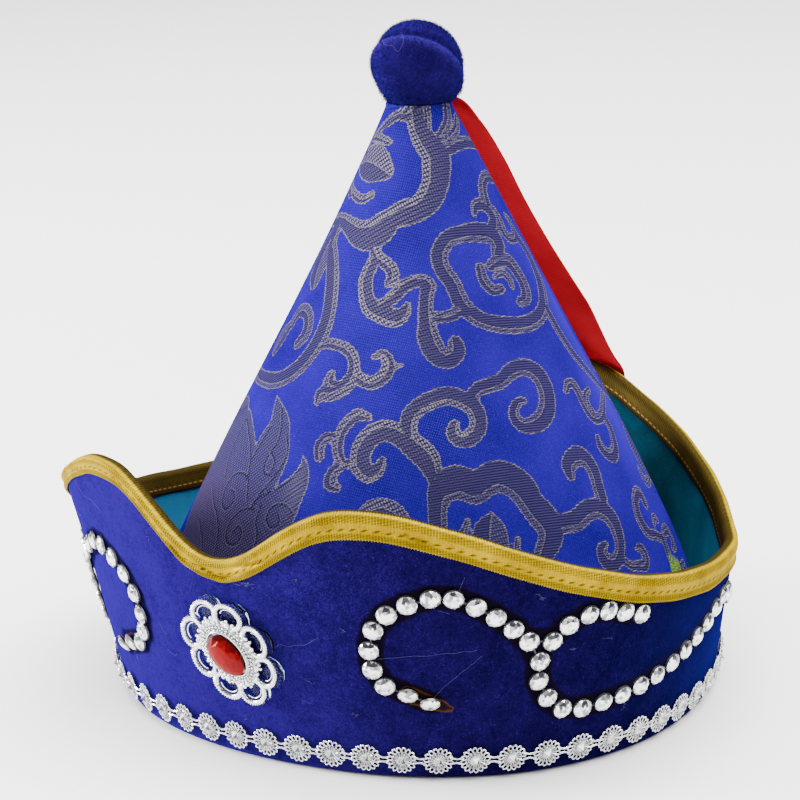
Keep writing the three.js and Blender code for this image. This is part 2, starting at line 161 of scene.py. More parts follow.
def evenAngles(count, first, heightAt):
    angles = first + np.linspace(0, 360, 2881)
    spots = wallPoints(angles, heightAt(angles), 0)
    run = np.concatenate([[0], np.cumsum(np.linalg.norm(np.diff(spots, axis=0), axis=1))])
    return np.interp(np.linspace(0, run[-1], count + 1), run, angles), run[-1]


# Small helpers for modelling

def pickNothing():
    if bpy.context.object and bpy.context.object.mode != "OBJECT":
        bpy.ops.object.mode_set(mode="OBJECT")
    bpy.ops.object.select_all(action="DESELECT")


def pick(*pieces):
    pickNothing()
    for piece in pieces:
        piece.select_set(True)
    bpy.context.view_layer.objects.active = pieces[-1]


def nameIt(name):
    piece = bpy.context.object
    piece.name = name
    piece.data.name = name
    return piece


def joinPieces(name, pieces):
    pick(*pieces)
    bpy.ops.object.join()
    return nameIt(name)


def settle(piece):
    pick(piece)
    bpy.ops.object.transform_apply(location=True, rotation=True, scale=True)
    return piece


def openAll(piece):
    pick(piece)
    bpy.ops.object.mode_set(mode="EDIT")
    bpy.ops.mesh.select_all(action="SELECT")


def closeUp(piece, distance=0.01 * mm):
    openAll(piece)
    bpy.ops.mesh.remove_doubles(threshold=distance)
    bpy.ops.mesh.normals_make_consistent(inside=False)
    bpy.ops.object.mode_set(mode="OBJECT")
    return piece


def useModifier(piece, kind, **settings):
    pick(piece)
    modifier = piece.modifiers.new(kind.lower(), kind)
    for key, value in settings.items():
        setattr(modifier, key, value)
    bpy.ops.object.modifier_apply(modifier=modifier.name)
    return piece


def copyTo(piece, place):
    copy = piece.copy()
    copy.data = piece.data.copy()
    bpy.context.collection.objects.link(copy)
    copy.data.transform(place)
    return copy


def scatterCopies(name, pattern, places):
    copies = [copyTo(pattern, place) for place in places]
    bpy.data.objects.remove(pattern)
    return joinPieces(name, copies)


def pointsOf(piece):
    flat = np.empty(len(piece.data.vertices) * 3)
    piece.data.vertices.foreach_get("co", flat)
    return flat.reshape(-1, 3)


def setPoints(piece, points):
    piece.data.vertices.foreach_set("co", np.ascontiguousarray(points, dtype=float).ravel())
    piece.data.update()


def cloth(name, around, rows, place):
    # a flat grid, then each vertex is carried to its place on the hat
    pickNothing()
    bpy.ops.mesh.primitive_grid_add(x_subdivisions=around, y_subdivisions=rows, size=2)
    piece = nameIt(name)
    flat = pointsOf(piece)
    setPoints(piece, place((flat[:, 0] + 1) / 2, (flat[:, 1] + 1) / 2))
    return piece


def keepNumber(piece, name, values):
    attribute = piece.data.attributes.new(name, "FLOAT", "POINT")
    attribute.data.foreach_set("value", np.ascontiguousarray(values, dtype=np.float32))


def smoothShade(piece, angle=40):
    pick(piece)
    bpy.ops.object.shade_smooth_by_angle(angle=math.radians(angle))


def finishPiece(piece, paint, slot, *nodes):
    piece.data.materials.clear()
    piece.data.materials.append(paint)
    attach(piece, "root")
    if nodes:
        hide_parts(*nodes)
    triangles = sum(len(face.vertices) - 2 for face in piece.data.polygons)
    print(piece.name, "has", triangles, "triangles")
    return piece


# Paint: a thin layer of operators over the shader's nodes

class Wire:
    def __init__(self, paint, socket):
        self.paint = paint
        self.socket = socket

    def maths(self, operation, *values):
        return self.paint.node("ShaderNodeMath", {"operation": operation}, dict(enumerate(values)))

    def __add__(self, other):
        return self.maths("ADD", self, other)

    __radd__ = __add__

    def __sub__(self, other):
        return self.maths("SUBTRACT", self, other)

    def __rsub__(self, other):
        return self.maths("SUBTRACT", other, self)

    def __mul__(self, other):
        return self.maths("MULTIPLY", self, other)

    __rmul__ = __mul__

    def __truediv__(self, other):
        return self.maths("DIVIDE", self, other)

    def __abs__(self):
        return self.maths("ABSOLUTE", self)

    def above(self, edge, soft):
        values = {0: self, 1: edge - soft, 2: edge + soft, 3: 0.0, 4: 1.0}
        return self.paint.node("ShaderNodeMapRange", {"interpolation_type": "SMOOTHSTEP"}, values)

    def below(self, edge, soft):
        return 1 - self.above(edge, soft)

    def wave(self, period):
        return self.maths("SINE", self * (tau / period)) * 0.5 + 0.5

    def largest(self, other):
        return self.maths("MAXIMUM", self, other)


class Paint:
    def __init__(self, name):
        self.material = bpy.data.materials.new(name)
        self.material.use_nodes = True
        self.tree = self.material.node_tree
        self.shader = self.tree.nodes["Principled BSDF"]
        self.places = {}

    def node(self, kind, settings=None, values=None, out=0):
        made = self.tree.nodes.new(kind)
        for key, value in (settings or {}).items():
            if key == "stops":
                ramp = made.color_ramp
                while len(ramp.elements) < len(value):
                    ramp.elements.new(0.5)
                for element, (position, colour) in zip(ramp.elements, value):
                    element.position = position
                    element.color = (*colour, 1)
            else:
                setattr(made, key, value)
        for key, value in (values or {}).items():
            self.fill(made.inputs[key], value)
        return Wire(self, made.outputs[out])

    def fill(self, socket, value):
        if isinstance(value, Wire):
            self.tree.links.new(value.socket, socket)
        elif hasattr(value, "__len__") and len(value) == 3 and socket.type == "RGBA":
            socket.default_value = (*value, 1)
        else:
            socket.default_value = value

    def set(self, **values):
        for key, value in values.items():
            self.fill(self.shader.inputs[key.replace("_", " ")], value)
        return self.material

    def place(self, kind="Object"):
        if kind not in self.places:
            self.places[kind] = self.node("ShaderNodeTexCoord", out=kind)
        return self.places[kind]

    def number(self, name):
        return self.node("ShaderNodeAttribute", {"attribute_name": name}, out="Fac")

    def stretch(self, vector, scale):
        return self.node("ShaderNodeVectorMath", {"operation": "MULTIPLY"}, {0: vector, 1: scale})

    def noise(self, size, detail=3.0, rough=0.5, vector=None):
        values = {"Vector": vector or self.place(), "Scale": 1 / size, "Detail": detail, "Roughness": rough}
        return self.node("ShaderNodeTexNoise", None, values, out="Fac")

    def blend(self, amount, under, over):
        return self.node("ShaderNodeMix", {"data_type": "RGBA"}, {0: amount, 6: under, 7: over}, out=2)

    def ramp(self, amount, *stops):
        return self.node("ShaderNodeValToRGB", {"stops": stops}, {"Fac": amount}, out="Color")

    def bump(self, height, depth, strength=1.0):
        values = {"Height": height, "Distance": depth, "Strength": strength}
        self.set(Normal=self.node("ShaderNodeBump", None, values, out="Normal"))


print("helpers are ready")


# Crown: the brocade cone

crownLook = {
    "around": 440,
    "rowsUp": 196,
    "rowsInside": 10,
    "top": 179.7 * mm,
    "foot": 1.5 * mm,
    "thick": 1.6 * mm,
    "lean": (0.821, 0.571),
    "seamFrom": 26 * mm,  # from here down the cone turns towards the foot of the brim
    "seamTo": 3 * mm,
    "seamGap": 3.0 * mm,
    "middleOfChart": 34.8,  # degrees round the cone where the chart has x = 0
    "opening": 0.4415,  # how far the flat cloth turns for each turn round the cone
}

# height, radius and lean of the cone's own middle, in millimetres
coneRows = [
    (0, 89, 0), (10, 88.2, 0.6), (20, 86.4, 1.2), (30, 83.6, 1.7), (40, 79.5, 2.1), (60, 70.1, 2.6),
    (80, 60.2, 3.0), (100, 49.7, 3.2), (120, 39.2, 3.4), (140, 28.9, 3.4), (160, 19, 3.2),
    (176, 11.1, 2.8), (180, 9.2, 2.6),
]
coneHeights, coneRadii, coneShifts = np.array(coneRows).T * mm
coneRadius = smoothCurve(coneHeights, coneRadii)
coneShift = smoothCurve(coneHeights, coneShifts)


def conePoints(angle, height, inside):
    look = crownLook
    seam = smoothStep((look["seamFrom"] - height) / (look["seamFrom"] - look["seamTo"]))
    radius = coneRadius(height) * (1 - seam) + (brimFoot(angle) - look["seamGap"]) * seam - inside
    a = np.radians(angle)
    x = hat["middle"][0] + radius * np.sin(a) + look["lean"][0] * coneShift(height)
    y = hat["middle"][1] - radius * np.cos(a) + look["lean"][1] * coneShift(height)
    return np.stack([x, y, height], axis=-1)


# The woven scrolls, charted on the flat cloth in millimetres. x runs round the cone from the middle
# of the chart and y down from its tip. Each band lists x, y and half its width, and the sign before
# it tells on which side the pale inner lines run.
cloudBands = [
    (1, [(-1.2, 18, 2.4), (-1.2, 21, 2.5), (-0.8, 27, 2.6), (1.5, 32, 3.4), (4.3, 36, 3.9),
         (4.5, 40, 3.9), (3.8, 45, 3.6), (1.8, 49.5, 3.6), (-1.5, 52.5, 3.4), (-5.5, 53.6, 3.6),
         (-9.5, 54.8, 3.0), (-13, 57.5, 4.2), (-16.5, 59, 4.4), (-20.5, 58, 3.8), (-24.5, 55, 2.8),
         (-28.5, 51.8, 2.2), (-33, 49.5, 2.0), (-38, 48, 1.8)]),
    (1, [(-1, 23.4, 2.0), (-4, 23.8, 1.6), (-7, 23.4, 1.4), (-10.2, 24.2, 1.4), (-14, 25.4, 1.2),
         (-17.5, 27, 1.0)]),
    (0, [(2, 19, 1.0), (2.4, 25, 1.0), (2.2, 30, 0.8)]),
    (0, [(9.5, 20, 1.5), (9, 25, 1.5), (6, 30, 1.4)]),
    (0, [(14, 22, 1.2), (12, 27, 1.4), (8, 31, 1.2)]),
    (1, [(32, 25.5, 1.6), (27, 26.6, 1.8), (20, 28.6, 1.9), (13, 31.2, 1.9), (8.5, 34, 1.7)]),
    (0, [(-24, 33.5, 1.4), (-20, 34.5, 4.2), (-16, 36.5, 5.2), (-11.5, 40, 2.6)]),
    (0, [(-23, 26.5, 1.1), (-19, 26.6, 1.3), (-15, 28, 1.3), (-10, 31, 1.1)]),
    (0, [(-29, 39.5, 1.2), (-24, 44.6, 1.4), (-20, 47, 1.4), (-16.2, 46.4, 1.1)]),
    (0, [(-15.8, 62, 1.5), (-14.5, 66, 1.8), (-12.3, 68, 1.8), (-10, 70.5, 1.8), (-9.5, 73, 1.7),
         (-11, 75, 1.2)]),
    (1, [(-15, 66, 1.6), (-16.7, 69.5, 2.0), (-18.2, 73, 2.1), (-18, 78, 2.2), (-16.5, 82, 2.6),
         (-13, 84.5, 2.6), (-9.5, 86, 2.6), (-6.8, 85, 2.0), (-5.3, 82.2, 1.0)]),
    (-1, [(-14, 82.5, 1.9), (-9, 79, 1.9), (-5.5, 75.7, 1.9), (-1.5, 74.8, 1.9), (0.9, 76, 2.0),
          (0.4, 79, 2.0), (0, 83, 2.0), (0.2, 88, 2.3), (0.8, 93, 3.0), (3, 97.6, 3.0), (6.2, 99.3, 2.8),
          (8.8, 97, 2.5), (8.6, 94.2, 2.0)]),
    (0, [(0.8, 85.6, 1.6), (5, 86.2, 1.7), (9, 84.8, 1.7), (11.4, 82.6, 1.8)]),
    (1, [(13, 84.4, 2.4), (10.6, 81.6, 2.4), (9.3, 78.6, 2.3), (7.8, 75, 2.3), (5.6, 72, 2.3),
         (4.4, 68.4, 2.3), (4.9, 64.8, 2.4), (7.5, 61.4, 2.4), (12, 59.8, 2.6), (17, 58.8, 2.9),
         (21.6, 58.8, 2.9), (24.2, 61.4, 2.6), (23.4, 64.6, 2.0)]),
    (1, [(12, 83.4, 2.3), (15, 85.8, 2.4), (19, 87.3, 2.4), (25, 87.6, 2.5), (32, 86.5, 2.5),
         (38, 83.4, 2.4), (42, 79, 2.4), (44, 73, 2.5), (44, 66, 2.6), (41.6, 60, 2.4), (37, 56.4, 2.0)]),
    (1, [(22, 58, 2.4), (23.6, 55.4, 2.2), (23.9, 52.6, 2.1), (22, 50.3, 2.1), (19, 49.6, 2.0),
         (16.6, 50.8, 1.6), (15.9, 53.2, 0.9)]),
    (0, [(22.2, 51, 1.8), (20.8, 47.4, 1.8), (20.7, 43.2, 1.8), (23, 39.7, 1.8), (27, 38, 1.9),
         (32, 36.4, 1.8), (37, 34.5, 1.6)]),
    (0, [(24.4, 50.6, 1.5), (26.6, 53, 1.5), (27.6, 56.2, 1.6), (30, 58, 1.6), (33, 57.3, 1.6),
         (34.6, 54.5, 1.6), (33.6, 51.4, 1.4), (30.8, 50.2, 1.0)]),
    (0, [(17, 70, 1.5), (18, 74, 1.7), (21, 76.8, 1.7), (24, 76, 1.4)]),
    (0, [(20.6, 69, 1.6), (23.6, 66.9, 2.0), (28, 66.3, 2.2), (31.5, 69.4, 2.2), (34, 73.5, 2.1),
         (33.9, 77.5, 2.0), (31, 79.4, 1.5)]),
    (0, [(22, 72.4, 1.0), (24.4, 70.8, 1.2), (27, 71.7, 1.2), (28.4, 74.6, 1.0)]),
    (-1, [(-33, 53, 3.0), (-35, 57.6, 3.2), (-33, 62, 2.8), (-31.6, 68, 2.7), (-31.2, 74, 2.6),
          (-31.6, 81, 2.6), (-33.4, 87, 2.7), (-37, 92.4, 2.7), (-42, 96.8, 2.7), (-48, 99.2, 2.7),
          (-55, 99.2, 2.6), (-62, 96.8, 2.4), (-69, 93.5, 2.2), (-76, 89, 1.8)]),
    (0, [(-34, 54, 1.6), (-38, 58, 4.4), (-40.5, 63.5, 4.6), (-41, 69, 2.2)]),
    (0, [(-51, 80.5, 1.8), (-49, 77.8, 2.1), (-45.6, 77.2, 2.2), (-42, 79.4, 2.2), (-40.5, 83.4, 2.2),
         (-41.8, 87, 2.2), (-45, 89, 1.7)]),
    (0, [(-60, 86, 2.6), (-57, 83, 3.4), (-53.4, 81, 2.2)]),
    (0, [(-35, 91.6, 1.6), (-32, 91.6, 1.6), (-29, 92.2, 1.6), (-25, 94, 1.7), (-22.4, 97, 1.7),
         (-21.8, 101, 1.8), (-23, 104.5, 2.2), (-26, 107, 2.4), (-30, 108, 2.3), (-33, 107.6, 1.9),
         (-34.4, 110.6, 0.9)]),
    (0, [(-28.4, 106, 2.0), (-30.6, 104.4, 1.7), (-29.4, 101.6, 1.2)]),
    (0, [(-21.5, 103, 1.6), (-18, 105.6, 1.9), (-14.6, 105.6, 2.0), (-11.8, 103, 2.0),
         (-11.2, 99.6, 1.7), (-12.8, 97.2, 1.4), (-15.4, 97.8, 1.0)]),
    (0, [(-11.6, 102, 1.5), (-9, 101.3, 1.0), (-7, 100.8, 0.5)]),
    (1, [(1.2, 138.4, 0.6), (1.3, 135, 2.1), (0, 130.7, 3.2), (-3.2, 127.1, 3.4), (-7.3, 123.5, 3.0),
         (-12, 121.2, 3.0), (-16.5, 122.8, 3.0), (-19.4, 127, 2.9), (-19.6, 131.5, 2.8),
         (-17.3, 134.3, 2.5), (-14.5, 133.2, 1.9), (-13.1, 130.2, 1.0)]),
    (0, [(-20, 130.4, 1.7), (-23.6, 131, 1.4), (-26, 129.4, 1.5), (-27, 125.4, 1.7), (-26, 121, 1.7),
         (-23.5, 117.6, 1.8), (-20.5, 115.8, 1.8), (-17.4, 116.6, 1.2)]),
    (0, [(-27, 122.9, 1.6), (-30.4, 122, 1.6), (-33, 124.4, 1.7), (-33, 127.8, 1.6)]),
    (0, [(-25.6, 131, 1.6), (-28.4, 133.2, 1.8), (-29.4, 136.4, 1.8), (-27, 137.8, 1.3)]),
    (1, [(-5, 125.5, 2.2), (-5.5, 121, 2.3), (-4.9, 117, 2.4), (-2, 114, 2.5), (2, 111.9, 2.6),
         (6, 110.8, 2.6), (10, 112, 2.6), (13.4, 114.2, 2.5), (15, 117.6, 2.4), (14.8, 121, 2.4),
         (12.4, 124, 2.4), (9.3, 124.5, 2.2), (7.4, 122.2, 1.9), (8, 119.6, 1.3)]),
    (1, [(11.6, 113, 1.8), (13.6, 110.4, 2.0), (16, 108.2, 2.1), (19.5, 107, 2.2), (22.8, 105.4, 2.2),
         (25.6, 102.6, 2.4), (30, 100.8, 2.6), (35, 102, 2.8), (37.8, 105.8, 2.9), (38.6, 110.6, 2.9),
         (37.2, 115.4, 2.9), (33.8, 118.6, 2.7), (29.8, 119.6, 2.2), (26.8, 117.8, 1.8),
         (26.4, 114.5, 1.6), (28, 112, 1.4), (30, 111.6, 1.0)]),
    (1, [(43, 77, 1.8), (45, 80.4, 1.9), (47.8, 84.4, 1.9), (51.5, 88.5, 1.9), (56, 92.3, 1.9),
         (62, 95, 1.9), (68, 97.5, 1.9), (74, 99, 1.8), (80, 99.5, 1.7)]),
    (0, [(47, 106.4, 1.2), (48.4, 103.8, 1.5), (51, 103.2, 1.6), (53.4, 105.6, 1.7), (55.4, 109.5, 1.8),
         (58.5, 112.8, 1.9), (62.2, 113, 1.9), (66, 110.2, 1.8), (69, 105.8, 1.7), (72, 102, 1.5)]),
    (0, [(60.4, 103.4, 1.0), (57.6, 105.6, 1.4), (57.2, 109, 1.5), (59.5, 111.2, 1.3)]),
    (1, [(66.4, 111.4, 1.5), (68.8, 114.4, 1.8), (69.6, 118, 1.9), (69, 122, 2.1), (66.6, 124.6, 2.2),
         (63, 124.4, 1.9), (60.4, 122.6, 1.6), (59.8, 120, 1.2)]),
    (0, [(66.4, 123.6, 1.6), (67.6, 126.4, 0.6)]),
    (1, [(45.4, 134, 1.6), (45, 130.5, 2.6), (48.5, 127.6, 3.0), (52.5, 128.2, 2.6), (55.3, 131.5, 2.6),
         (56.3, 135.5, 2.4), (57.6, 139.5, 2.4)]),
    (1, [(2.8, 156, 2.5), (2.8, 150, 2.5), (2.8, 145, 2.6), (3.8, 140.5, 3.6), (7.4, 137.8, 4.6),
         (10.5, 138, 4.3), (13.7, 139.6, 4.0), (16.5, 137.4, 4.1), (20.2, 135.6, 4.3),
         (24.5, 136.6, 4.3), (28.4, 139.4, 4.2), (31, 143.4, 3.8), (34, 146.4, 4.2), (36.8, 149.6, 4.0),
         (37.1, 153, 3.7), (34.6, 158.4, 2.8)]),
    (0, [(18.5, 147, 0.8), (18.2, 149.6, 2.4), (18, 153, 4.6), (18, 158, 5.4)]),
    (0, [(11.4, 149, 0.9), (10, 153, 1.2)]),
    (0, [(26.4, 154, 0.9), (26, 158, 1.1)]),
    (1, [(41, 148.9, 2.7), (46.5, 147.4, 2.9), (50.3, 144.6, 3.0), (54, 143, 2.8), (58.5, 143.6, 2.8),
         (62, 146.3, 2.7), (63.5, 150, 2.4), (63.8, 154, 2.0), (61.5, 158.3, 2.2), (57.5, 158.6, 2.4),
         (55.6, 155.8, 1.9), (57.4, 153.6, 1.2)]),
    (0, [(65, 157.6, 1.2), (68, 158.8, 1.3), (71.4, 158.4, 1.5), (75, 157.6, 1.8), (76.2, 154.8, 1.7),
         (74, 152.6, 1.5), (71.8, 153.4, 0.8)]),
    (1, [(82.6, 137, 1.6), (81, 134.4, 1.8), (78, 134.4, 1.9), (75.8, 137.4, 1.9), (75.6, 141.4, 2.0),
         (77.6, 145, 2.0), (81, 147, 1.8), (86, 146.6, 1.6), (90, 146.8, 1.5)]),
    (0, [(85.8, 143, 1.0), (87, 140.4, 1.3), (89.4, 140.8, 1.2)]),
    (0, [(91.6, 146, 1.8), (92.4, 150.6, 2.0), (96, 154, 2.2), (102, 153.4, 2.0), (108, 150, 1.8)]),
    (0, [(93.4, 143.6, 1.7), (97, 142, 1.9), (101, 145, 1.9), (98, 148, 1.3)]),
    (0, [(86, 124.6, 1.3), (88.6, 127.6, 1.8), (93, 126.6, 1.7), (98, 123, 1.5)]),
    (0, [(-19, 148, 2.6), (-16.4, 145.2, 2.6), (-13, 144.6, 2.6), (-9.6, 146.4, 2.6), (-7.6, 149, 2.4)]),
]

# The lotus at the chart's lower left: its petals, and the fine veins drawn over them
lotusPetals = [
    (0, [(-95, 112, 8), (-92, 126, 10), (-90, 140, 10), (-88, 154, 8)]),
    (0, [(-80, 108, 9), (-80, 122, 12), (-78, 136, 12), (-76, 152, 10)]),
    (0, [(-69.5, 105.6, 0.5), (-69, 110, 3.0), (-68, 117, 5.6), (-68, 127, 9), (-67, 138, 11),
         (-64, 152, 12)]),
    (0, [(-51.8, 105.3, 0.3), (-50.8, 109.5, 2.0), (-49.4, 115, 3.9), (-51.2, 121, 6.2),
         (-52.7, 125, 7.4), (-54, 129, 6.9), (-55.8, 133, 6.0), (-58, 139, 6.0)]),
    (0, [(-38.7, 127, 0.3), (-38.3, 130.5, 1.5), (-39.6, 134.5, 2.9), (-43.5, 139, 4.6),
         (-48, 143.5, 6.6), (-54, 149, 9)]),
]
lotusVeins = [
    [(-45.2, 120), (-44.5, 125), (-46.8, 129.2), (-50, 132.9), (-54.2, 136), (-57.9, 139.7)],
    [(-53.2, 115.5), (-57.4, 120.8), (-61, 125.5), (-61, 130.8), (-60.5, 137.6)],
    [(-48.6, 110), (-48, 116), (-49, 121), (-51.6, 124), (-49.7, 126.5), (-50.6, 130), (-53, 131),
     (-54.2, 128), (-52.6, 125)],
    [(-39.5, 130.8), (-44.2, 134.5), (-52, 137.1), (-57.9, 139.2)],
    [(-41.5, 144.5), (-44.6, 141.4), (-49, 141.3), (-51.4, 144.5), (-49.4, 147.6), (-46.4, 146.6),
     (-47, 144.2)],
    [(-57, 141), (-61.6, 140.4), (-67, 142.5), (-69, 146.5), (-67, 150), (-63, 150.4), (-61.6, 147.4),
     (-63.4, 145.2), (-65.6, 146.8)],
    [(-61, 131), (-64, 128.6), (-69, 128), (-73, 130.6), (-74.2, 135), (-71.6, 138.4), (-68, 137.6),
     (-67.2, 134.4), (-69.6, 132.8)],
    [(-68.6, 109), (-65.6, 114), (-62.8, 119), (-61.6, 124)],
    [(-69.6, 109), (-73, 114), (-75.6, 120), (-75.4, 127)],
    [(-54, 140.6), (-55.6, 145), (-54.6, 150), (-56.6, 155)],
    [(-84, 128), (-80, 134), (-75.4, 140), (-73, 147), (-74, 154)],
    [(-88, 138), (-83, 145), (-79.6, 153)],
]

brocadeLook = {
    "lineShare": 0.62,  # how deep the pale inner line lies, as a share of half the band's width
    "lineLimits": (0.85, 2.4),
    "reach": 7.0,  # how far from a band its distance still matters
    "finer": 5,  # points added between two charted ones
    "fuller": 1.16,
    # painted highlights: where on the chart the twill's floats are painted paler, as if they caught the
    # light
    "paintedGlints": ((-14, 90, 15, 62), (-3, 36, 8, 22), (-41, 137, 5, 9), (6, 122, 9, 9)),  # x, y and spreads
    "greenSpot": (96.5, 158, 4.5, 7),
    "lotusSide": -37,  # the lotus lies left of this and below its top
    "lotusTop": 103,
    "seamSlope": 0.8314,  # across for each millimetre down, a quarter turn from the chart's middle
}


def finerBand(points):
    return softRoute(points, (len(points) - 1) * brocadeLook["finer"] + 1)


def weaveBand(x, y, side, points, inside, edge):
    spots = finerBand(points)
    reach = brocadeLook["reach"] + spots[:, 2].max()
    near = (x > spots[:, 0].min() - reach) & (x < spots[:, 0].max() + reach)
    near &= (y > spots[:, 1].min() - reach) & (y < spots[:, 1].max() + reach)
    if not near.any():
        return
    px, py = x[near], y[near]
    best = np.full(len(px), -99.0)
    bestEdge = np.full(len(px), 9.0)
    for (ax, ay, aw), (bx, by, bw) in zip(spots[:-1], spots[1:]):
        dx, dy = bx - ax, by - ay
        t = np.clip(((px - ax) * dx + (py - ay) * dy) / (dx * dx + dy * dy), 0, 1)
        ox, oy = px - ax - t * dx, py - ay - t * dy
        half = (aw + t * (bw - aw)) * brocadeLook["fuller"]
        depth = half - np.hypot(ox, oy)
        across = (dx * oy - dy * ox) / math.hypot(dx, dy)
        better = depth > best
        best[better] = depth[better]
        lineAt = np.clip(half * brocadeLook["lineShare"], *brocadeLook["lineLimits"])
        bestEdge[better] = (half - side * across - lineAt)[better] if side else across[better]
    takes = best > inside[near]
    where = np.flatnonzero(near)[takes]
    inside[where] = best[takes]
    edge[where] = bestEdge[takes]


def drawVein(x, y, points, vein):
    spots = finerBand(points)
    for (ax, ay), (bx, by) in zip(spots[:-1], spots[1:]):
        near = np.flatnonzero((abs(x - ax) < 4) & (abs(y - ay) < 4))
        if not len(near):
            continue
        dx, dy = bx - ax, by - ay
        px, py = x[near] - ax, y[near] - ay
        t = np.clip((px * dx + py * dy) / (dx * dx + dy * dy), 0, 1)
        away = np.hypot(px - t * dx, py - t * dy)
        closer = away < abs(vein[near])
        vein[near[closer]] = np.copysign(away, dx * py - dy * px)[closer]


def weaveChart(x, y):
    inside = np.full(len(x), -9.0)
    edge = np.full(len(x), 9.0)
    vein = np.full(len(x), 4.0)
    for side, points in cloudBands + lotusPetals:
        weaveBand(x, y, side, points, inside, edge)
    for points in lotusVeins:
        drawVein(x, y, points, vein)
    edge[(x < brocadeLook["lotusSide"]) & (y > brocadeLook["lotusTop"])] = 9
    # a painted highlight: how much paler the floats are painted at each place, as if they caught the light
    glint = np.zeros(len(x))
    for gx, gy, wide, tall in brocadeLook["paintedGlints"]:
        glint += np.exp(-((x - gx) / wide) ** 2 - ((y - gy) / tall) ** 2)
    return inside, edge, vein, np.clip(glint, 0, 1)


def makeCrown():
    look = crownLook
    rows = look["rowsUp"] + look["rowsInside"] + 2
    rimV = look["rowsUp"] / rows
    innerV = (look["rowsUp"] + 1) / rows

    def place(u, v):
        angle = u * 360
        up = np.clip(1 - v / rimV, 0, 1)
        down = np.clip((v - innerV) / (1 - innerV), 0, 1)
        outer = v <= rimV + tiny
        height = np.where(outer, look["foot"] + up * (look["top"] - look["foot"]),
                          look["foot"] + down * (look["top"] - look["thick"] - look["foot"]))
        inside = np.where(outer, 0, look["thick"])
        points = conePoints(angle, height, inside)
        tips = (v < tiny) | (v > 1 - tiny)
        middle = conePoints(angle, height, coneRadius(height))
        points[tips] = middle[tips]
        nearTip = outer & (v > tiny) & (v < 1.5 / rows)
        points[nearTip, 2] = look["top"]
        return points

    crown = cloth("crown_brocade", look["around"], rows, place)
    closeUp(crown, 0.004 * mm)
    points = pointsOf(crown)
    height = np.clip(points[:, 2], 0, coneHeights[-1])
    x = points[:, 0] - hat["middle"][0] - look["lean"][0] * coneShift(height)
    y = points[:, 1] - hat["middle"][1] - look["lean"][1] * coneShift(height)
    slant = np.hypot(x, y) / mm / look["opening"]
    turn = np.degrees(np.arctan2(x, -y)) - look["middleOfChart"]
    inside = np.full(len(x), -9.0)
    edge = np.full(len(x), 9.0)
    chart = np.zeros((len(x), 4))
    for half in (0, 180):
        bend = np.radians(wrapDegrees(turn - half) * look["opening"])
        chartX, chartY = slant * np.sin(bend), slant * np.cos(bend)
        woven, line, vein, glint = weaveChart(chartX, chartY)
        takes = woven > inside
        inside[takes] = woven[takes]
        edge[takes] = line[takes]
        front = np.abs(wrapDegrees(turn - half)) <= 90
        chart[front] = np.stack([chartX, chartY, vein, glint], axis=1)[front]
    keepNumber(crown, "woven", inside)
    keepNumber(crown, "line", edge)
    for k, name in enumerate(("across", "down", "vein", "glint")):
        keepNumber(crown, name, chart[:, k])
    keepNumber(crown, "veinNear", abs(chart[:, 2]))
    smoothShade(crown, 60)
    return finishPiece(crown, paintBrocade(), "brocade", "crown")


